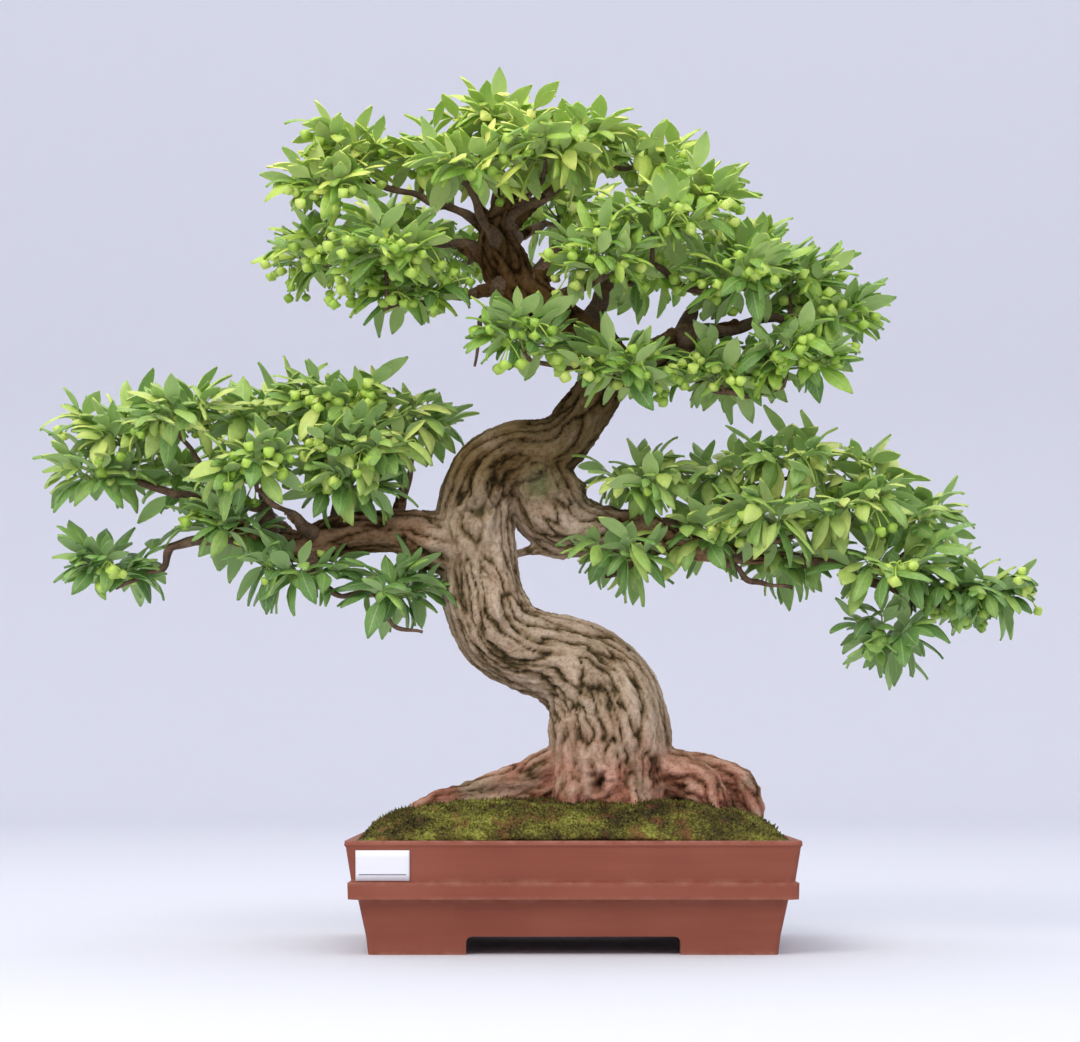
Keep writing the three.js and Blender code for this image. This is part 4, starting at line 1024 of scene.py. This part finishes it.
def buildPot():
    less, top = pot["depthLess"], pot["top"]
    heights, halves = np.array(pot["profile"]).T
    near = [z + side * pot["wearReach"] for z in heights for side in (-1, 1)]
    levels = [z for z in near if np.abs(heights - z).min() > 0.9 * pot["wearReach"] and 0 < z < top]
    levels = sorted({*heights, *levels})
    body = stackedSolid("pot_body", [
        (z, roundedRectangle(half, half - less, pot["corner"]))
        for z, half in zip(levels, np.interp(levels, heights, halves))])
    cavity = stackedSolid("cutter", [
        (z, roundedRectangle(*half, pot["cavityCorner"])) for z, half in
        ((pot["floor"], pot["cavityBottom"]), (top + 0.01, pot["cavityTop"]),
         (top + 5, pot["cavityTop"]))])
    underHalf = pot["profile"][0][1] - pot["footWall"]
    under = stackedSolid("cutter", [
        (z, roundedRectangle(underHalf, underHalf - less, pot["corner"]))
        for z in (-2, pot["footHeight"])])
    turn = np.linspace(0, 2 * np.pi, 32, endpoint=False)
    hole = pot["drainRadius"] * np.stack([np.cos(turn), np.sin(turn)], -1)
    drains = [stackedSolid("cutter", [(z, hole + [x, 0]) for z in (10, pot["floor"] + 3)])
              for x in (-pot["drainX"], pot["drainX"])]
    cutBy(body, cavity, under, slotCutter(pot["frontGap"], False),
          slotCutter(pot["sideGap"], True), *drains)
    applyModifier(body, "BEVEL", width=pot["bevel"] * mm, segments=3, limit_method="ANGLE",
                  angle_limit=math.radians(28))
    applyModifier(body, "WEIGHTED_NORMAL")
    return body


card = {"width": 50, "height": 28.5, "thickness": 0.5, "x": -177, "z": 83.4, "gap": 0.3,
        "curl": 0.25}


def buildCard():  # a thin card on the leaning front panel, its ends bowed out a quarter millimetre
    low, high = pot["profile"][5], pot["profile"][6]
    slope = (high[1] - low[1]) / (high[0] - low[0])
    face = pot["depthLess"] - (low[1] + slope * (card["z"] - low[0]))
    columns, rows = 21, 5
    s, v = np.meshgrid(np.linspace(-0.5, 0.5, columns), np.linspace(-0.5, 0.5, rows))
    x, up = card["x"] + s * card["width"], v * card["height"]
    lean = math.atan(slope)
    out = card["gap"] + card["curl"] * (2 * s) ** 4
    layers = []
    for depth in (out + card["thickness"], out):
        layers.append(np.stack([x, face - up * math.sin(lean) - depth * math.cos(lean),
                                card["z"] + up * math.cos(lean) - depth * math.sin(lean)], -1))
    points = np.concatenate([layer.reshape(-1, 3) for layer in layers])
    made = makeObject("paper_card", points, slabFaces(rows, columns).tolist())
    setUv(made, np.tile(np.stack([s + 0.5, v + 0.5], -1).reshape(-1, 2), (2, 1)))
    return made


# Finishes

def barkFinish():
    # Corky bark of an old spindle tree: pale weathered ridges with dry, matt tops, and furrows
    # that hold dark dust and green algae. Newly bared roots are redder, young limbs darker.
    material, add, shade = newMaterial("corkyBark")
    at = {name: add("Attribute", {"attribute_name": name}).outputs["Fac"]
          for name in ("barkWave", "flecks", "root", "scar", "paste", "bend", "crack", "young")}
    place = add("TexCoord").outputs["Object"]
    fine = add("TexNoise", Vector=place, Scale=300.0, Detail=4.0, Roughness=0.75)
    broad = add("TexNoise", Vector=place, Scale=30.0, Detail=4.0)
    ragged = add("Math", timesPlus, _0=at["flecks"], _1=0.05, _2=at["barkWave"])
    level = add("Math", timesPlus, _0=at["crack"], _1=-0.05, _2=ragged)
    plates = add("ValToRGB", {"stops": [
        (0.0, "#484131"), (0.05, "#63573c"), (0.12, "#95836a"), (0.25, "#baa891"),
        (0.65, "#d6c6b3")]}, Fac=level)
    reds = add("ValToRGB", {"stops": [
        (0.0, "#442922"), (0.06, "#754d3b"), (0.2, "#a8725e"), (0.6, "#d4a38e")]}, Fac=level)
    flecked = add("Math", timesPlus, _0=at["flecks"], _1=0.22, _2=fine)
    specks = add("ValToRGB", {"stops": [
        (0.26, "#7d6c5a"), (0.4, "#cdbdaa"), (0.52, "#f4ece2"), (0.7, "#ffffff")]}, Fac=flecked)
    stains = add("ValToRGB", {"stops": [
        (0.35, "#b5a48c"), (0.5, "#f6efe4"), (0.66, "#e4d0ba")]}, Fac=broad)
    colour = add("Mix", multiplyColours, _0=0.5, _6=plates, _7=stains)
    wet = add("MapRange", Value=broad, From_Min=0.3, From_Max=0.55)
    rootShare = add("Math", timesClamped, _0=at["root"], _1=wet)
    colour = add("Mix", mixColours, _0=rootShare, _6=colour, _7=reds)
    damp = add("MapRange", Value=broad, From_Min=0.12, From_Max=0.42)
    algae = add("Math", timesClamped, _0=at["bend"], _1=damp)
    colour = add("Mix", multiplyColours, _0=algae, _6=colour, _7=rgb("#a49c80"))
    colour = add("Mix", multiplyColours, _0=at["young"], _6=colour, _7=rgb("#dcc7b6"))
    colour = add("Mix", multiplyColours, _0=0.6, _6=colour, _7=specks)
    lichen = add("Mix", mixColours, _0=fine, _6=rgb("#3f4026"), _7=rgb("#9a9a6c"))
    colour = add("Mix", mixColours, _0=at["scar"], _6=colour, _7=lichen)
    colour = add("Mix", mixColours, _0=at["paste"], _6=colour, _7=rgb("#7d3b2d"))
    relief = add("Math", timesPlus, _0=flecked, _1=1.2, _2=at["barkWave"])
    bump = add("Bump", Strength=1.0, Distance=2.0 * mm, Height=relief)
    shade(Base_Color=colour, Normal=bump, Roughness=0.92, Specular_IOR_Level=0.08)
    return material


def twigFinish():
    # Young spindle wood: thin smooth grey-brown bark with lighter lenticels
    material, add, shade = newMaterial("youngBark")
    place = add("TexCoord").outputs["Object"]
    patches = add("TexNoise", Vector=place, Scale=45.0, Detail=4.0)
    flecks = add("TexNoise", Vector=place, Scale=420.0, Detail=2.0)
    mixed = add("Mix", _0=0.35, _2=patches, _3=flecks)
    colour = add("ValToRGB", {"stops": [
        (0.3, "#34251b"), (0.46, "#58422f"), (0.6, "#7c614a"), (0.75, "#9a8066")]}, Fac=mixed)
    bump = add("Bump", Strength=0.6, Distance=0.5 * mm, Height=flecks)
    shade(Base_Color=colour, Normal=bump, Roughness=0.8)
    return material


def leafFinish(name, tones, under):
    # Spindle leaf: waxy satin upper side with a pale midrib and fine side veins, paler dull
    # underside; light shines into the thin blade
    material, add, shade = newMaterial(name)
    tone, back, stem = (add("Attribute", {"attribute_name": key}).outputs["Fac"]
                        for key in ("leafTone", "underside", "stemShare"))
    uv = add("SeparateXYZ", Vector=add("UVMap", {"uv_map": "UVMap"}))
    off = add("Math", sizeOnly, _0=add("Math", minus, _0=uv.outputs["X"], _1=0.5))
    rib = add("MapRange", smoothRange, Value=off, From_Min=0.015, From_Max=0.06, To_Min=1.0,
              To_Max=0.0)
    # Side veins leave the midrib forward: bands of the place along less the way across
    slant = add("Math", timesPlus, _0=off, _1=-0.45, _2=uv.outputs["Y"])
    bands = add("Math", {"operation": "SINE"}, _0=add("Math", times, _0=slant, _1=2 * math.pi * 9))
    vein = add("MapRange", smoothRange, Value=bands, From_Min=0.55, From_Max=1.0, To_Min=0.0,
               To_Max=0.35)
    lines = add("Math", {"operation": "MAXIMUM"}, _0=rib, _1=vein)
    mottle = add("TexNoise", Vector=add("TexCoord").outputs["Object"], Scale=160.0, Detail=2.0)
    # the tone attribute holds each leaf's own tone together with the painted light of its height
    shift = add("Math", timesPlus, _0=mottle, _1=0.3, _2=add("Math", minus, _0=tone, _1=0.15))
    face = add("ValToRGB", {"stops": tones}, Fac=shift)
    veined = add("Mix", mixColours, _0=add("Math", times, _0=lines, _1=0.4), _6=face,
                 _7=rgb("#bdd08a"))
    colour = add("Mix", mixColours, _0=add("Math", times, _0=back, _1=0.75), _6=veined,
                 _7=rgb(under))
    colour = add("Mix", mixColours, _0=stem, _6=colour, _7=rgb("#86994a"))
    bump = add("Bump", Strength=0.35, Distance=0.6 * mm, Height=lines)
    shade(Base_Color=colour, Normal=bump, Specular_IOR_Level=0.5, Subsurface_Weight=0.25,
          Subsurface_Radius=(0.5, 1.0, 0.25), Subsurface_Scale=3.0 * mm,
          Roughness=add("MapRange", Value=back, To_Min=0.48, To_Max=0.8))
    return material


def capsuleFinish():
    # Unripe spindle capsule: smooth, fleshy and pale yellow-green
    material, add, shade = newMaterial("unripeCapsule")
    tone = add("Attribute", {"attribute_name": "fruitTone"}).outputs["Fac"]
    blush = add("TexNoise", Vector=add("TexCoord").outputs["Object"], Scale=90.0, Detail=2.0)
    shift = add("Math", timesPlus, _0=blush, _1=0.6, _2=add("Math", times, _0=tone, _1=0.5))
    colour = add("ValToRGB", {"stops": [
        (0.2, "#8cb03a"), (0.5, "#adcf50"), (0.75, "#c6dd68"), (0.95, "#dade7c")]}, Fac=shift)
    shade(Base_Color=colour, Roughness=0.38, Subsurface_Weight=0.3,
          Subsurface_Radius=(0.8, 1.0, 0.3), Subsurface_Scale=3.0 * mm)
    return material


def mossFinish():
    # Short cushion moss, mixed in age: dark olive where dry, bright where it grows, with
    # reddish-brown spore stalks and crumbs of bark
    material, add, shade = newMaterial("cushionMoss")
    place = add("TexCoord").outputs["Object"]
    patches = add("TexNoise", Vector=place, Scale=26.0, Detail=5.0, Roughness=0.6)
    pile = add("TexNoise", Vector=place, Scale=380.0, Detail=3.0, Roughness=0.75)
    browns = add("TexNoise", Vector=place, Scale=48.0, Detail=4.0)
    mixed = add("Mix", _0=0.5, _2=patches, _3=pile)
    green = add("ValToRGB", {"stops": [
        (0.36, "#1f1a0c"), (0.44, "#3a3217"), (0.51, "#5a5323"), (0.58, "#7f8034"),
        (0.67, "#a9ab58")]}, Fac=mixed)
    share = add("MapRange", Value=browns, From_Min=0.54, From_Max=0.66)
    colour = add("Mix", mixColours, _0=add("Math", times, _0=share, _1=pile), _6=green,
                 _7=rgb("#7a4632"))
    bump = add("Bump", Strength=0.9, Distance=1.5 * mm, Height=pile)
    shade(Base_Color=colour, Normal=bump, Roughness=0.95, Specular_IOR_Level=0.2)
    return material


def clayFinish():
    # Unglazed terracotta, pressed and wiped wet before firing: a matt brown-red skin with faint
    # streaks along it, fine grit, and pale scuffs where the lip, the band and the feet rub
    material, add, shade = newMaterial("unglazedTerracotta")
    place = add("TexCoord").outputs["Object"]
    stretched = add("Mapping", Vector=place, Scale=(9.0, 9.0, 120.0))
    streaks = add("TexNoise", Detail=4.0, Scale=1.0, Vector=stretched)
    clouds = add("TexNoise", Vector=place, Scale=11.0, Detail=4.0)
    grit = add("TexNoise", Vector=place, Scale=900.0, Detail=2.0)
    mixed = add("Mix", _0=0.35, _2=clouds, _3=streaks)
    clay = add("ValToRGB", {"stops": [
        (0.3, "#824330"), (0.5, "#8a4a37"), (0.7, "#92523f")]}, Fac=mixed)
    worn = add("Attribute", {"attribute_name": "wear"}).outputs["Fac"]
    scuffs = add("TexNoise", Vector=place, Scale=55.0, Detail=5.0, Roughness=0.7)
    scuffed = add("MapRange", Value=scuffs, From_Min=0.38, From_Max=0.62)
    rubbed = add("Math", timesClamped, _0=worn, _1=scuffed)
    colour = add("Mix", mixColours, _0=rubbed, _6=clay, _7=rgb("#a4705c"))
    bump = add("Bump", Strength=0.25, Distance=0.4 * mm, Height=add(
        "Mix", _0=0.5, _2=grit, _3=streaks))
    shade(Base_Color=colour, Normal=bump, Roughness=0.72, Specular_IOR_Level=0.35)
    return material


def paperFinish():
    # Coated white card, printed with one thin grey rule and otherwise blank
    material, add, shade = newMaterial("coatedCard")
    uv = add("UVMap", {"uv_map": "UVMap"})
    axes = add("SeparateXYZ", Vector=uv)
    away = add("Math", sizeOnly, _0=add("Math", minus, _0=axes.outputs["Y"], _1=0.2))
    rule = add("Math", {"operation": "LESS_THAN"}, _0=away, _1=0.016)
    off = add("Math", sizeOnly, _0=add("Math", minus, _0=axes.outputs["X"], _1=0.5))
    inside = add("Math", {"operation": "LESS_THAN"}, _0=off, _1=0.44)
    share = add("Math", times, _0=rule, _1=inside)
    grain = add("TexNoise", Scale=60.0, Vector=uv)
    paper = add("ValToRGB", {"stops": [(0.3, "#e6e6ea"), (0.7, "#f6f6f8")]}, Fac=grain)
    colour = add("Mix", mixColours, _0=share, _6=paper, _7=rgb("#5f6068"))
    shade(Base_Color=colour, Roughness=0.5)
    return material


def grainFinish(name, colours, size, roughness, depth):
    # Loose grains: one colour to a cell, and each cell domed
    material, add, shade = newMaterial(name)
    cells = add("TexVoronoi", Vector=add("TexCoord").outputs["Object"], Scale=1 / (size * mm))
    hue = add("SeparateColor", Color=cells.outputs["Color"])
    stops = [(k / (len(colours) - 1), c) for k, c in enumerate(colours)]
    bump = add("Bump", {"invert": True}, Strength=0.9, Distance=depth * mm,
               Height=cells.outputs["Distance"])
    shade(Base_Color=add("ValToRGB", {"stops": stops}, Fac=hue), Normal=bump, Roughness=roughness)
    return material


def meshFinish():
    # Moulded polypropylene drain mesh: dark green, satin, with a faint moulding grain
    material, add, shade = newMaterial("mouldedPolypropylene")
    grain = add("TexNoise", Vector=add("TexCoord").outputs["Object"], Scale=500.0, Detail=2.0)
    colour = add("ValToRGB", {"stops": [(0.3, "#26332a"), (0.7, "#34443a")]}, Fac=grain)
    bump = add("Bump", Strength=0.2, Distance=0.2 * mm, Height=grain)
    shade(Base_Color=colour, Normal=bump, Roughness=0.45)
    return material


def markWear(body):  # share exp(-(distance / width)^2) from each height, the largest of them
    points = pointsOf(body)
    wear = np.zeros(len(points))
    for height, width, share in pot["wear"]:
        wear = np.maximum(wear, share * np.exp(-((points[:, 2] - height) / width) ** 2))
    setValues(body, "wear", wear)


# Everything, piece by piece

report("frame")
potBody = buildPot()
markWear(potBody)
finishPiece(potBody, clayFinish(), "unglazed_clay", "pot")
finishPiece(buildCard(), paperFinish(), "card", "label_card")
finishPiece(buildMoss(), mossFinish(), "moss", "moss")
paint(grainFinish("wateredSoil", ["#2c1f16", "#4a3626", "#6a5038"], 3.0, 0.95, 1.2),
      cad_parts["soil"])
paint(grainFinish("washedGrit", ["#6b645a", "#8d8577", "#b0a898", "#7f7163"], 5.0, 0.85, 2.5),
      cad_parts["drainage_grit"])
paint(meshFinish(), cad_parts["drain_mesh_left"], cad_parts["drain_mesh_right"])
report("pot and moss")
finishPiece(buildWood(), barkFinish(), "bark", "wood")
report("trunk, limbs and roots")
growth = buildGrowth()
report("leaves and capsules")
finishPiece(buildBranches(growth["twigs"]), twigFinish(), "bark", "wood")

# The crown's leaves get a lighter, yellower ramp than the side sprays' leaves: painted light on the
# higher, better lit crown
crownLeaf = leafFinish("crownSpindleLeaf", [
    (0.1, "#5a8335"), (0.4, "#86ad3f"), (0.65, "#b5cf52"), (0.95, "#e1e873")], "#b4cb82")
sideLeaf = leafFinish("sideSpindleLeaf", [
    (0.1, "#52783a"), (0.4, "#739b49"), (0.65, "#9dbb59"), (0.95, "#ccd972")], "#a3bf7c")
for label, pieces in growth["leaves"].items():
    for piece, node in pieces:
        finish, slot = (crownLeaf, "crown_leaves") if label == "crown" else (sideLeaf, "side_leaves")
        finishPiece(piece, finish, slot, *([node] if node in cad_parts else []))
capsule = capsuleFinish()
for piece, nodes in growth["fruit"]:
    finishPiece(piece, capsule, "seed_capsules", *nodes)
report("branches and finishes")


# Studio: a pale seamless sweep, soft light and the camera

studio = {
    "floorRadius": 4.2, "bend": 1.4, "height": 4.6,
    "paper": "#d9dae1", "air": "#f3f4fb", "airStrength": 1.4,
    "camera": (-31.0, -2400.0, 189.0), "pitch": 5.45, "lens": 80.37, "filmWidth": 36.0,
    "aim": (0.0, 0.0, 0.45),
    "lights": [  # name, place, width in metres, watts and colour
        ("keyLight", (-1.3, -2.2, 2.4), 1.8, 48, "#fffaf2"),
        ("fillLight", (1.9, -2.0, 1.3), 2.0, 8, "#f4f6ff"),
        ("topLight", (0.2, 0.3, 2.9), 2.0, 8, "#fbfbff"),
    ],
}


def buildSweep():  # a round floor that turns up through a quarter circle into a wall all round
    bend = np.linspace(0, np.pi / 2, 17)
    r = np.concatenate([[0.6, 2.2], studio["floorRadius"] + studio["bend"] * np.sin(bend),
                        [studio["floorRadius"] + studio["bend"]]])
    z = np.concatenate([[0, 0], studio["bend"] * (1 - np.cos(bend)), [studio["height"]]])
    turn = np.linspace(0, 2 * np.pi, 96, endpoint=False)[None]
    points = np.stack([r[:, None] * np.cos(turn), r[:, None] * np.sin(turn),
                       z[:, None] + 0 * turn], -1).reshape(-1, 3)
    faces = ringFaces(len(r), turn.size)[:, ::-1].tolist() + [list(range(turn.size))]
    sweepPiece = makeObject("studio_sweep", points, faces, inMillimetres=False)
    material, _, shade = newMaterial("paperSweep")
    shade(Base_Color=rgb(studio["paper"]), Roughness=0.95)
    paint(material, sweepPiece)


def addLight(name, place, size, watts, colour):
    lamp = bpy.data.lights.new(name, "AREA")
    lamp.shape, lamp.size, lamp.energy = "DISK", size, watts
    lamp.color = rgb(colour)[:3]
    holder = bpy.data.objects.new(name, lamp)
    bpy.context.scene.collection.objects.link(holder)
    holder.location = place
    away = Vector(studio["aim"]) - Vector(place)
    holder.rotation_euler = away.to_track_quat("-Z", "Y").to_euler()


def buildStudio():
    buildSweep()
    world = bpy.data.worlds.new("studio")
    bpy.context.scene.world = world
    world.use_nodes = True
    background = world.node_tree.nodes["Background"]
    background.inputs["Color"].default_value = rgb(studio["air"])
    background.inputs["Strength"].default_value = studio["airStrength"]
    for light in studio["lights"]:
        addLight(*light)
    lens = bpy.data.cameras.new("photographCamera")
    lens.lens, lens.sensor_width, lens.sensor_fit = studio["lens"], studio["filmWidth"], "HORIZONTAL"
    holder = bpy.data.objects.new("photographCamera", lens)
    bpy.context.scene.collection.objects.link(holder)
    holder.location = np.array(studio["camera"]) * mm + potMiddle
    holder.rotation_euler = (math.radians(90 + studio["pitch"]), 0, 0)
    bpy.context.scene.camera = holder
    bpy.context.scene.view_settings.view_transform = "Standard"


buildStudio()
report("studio")
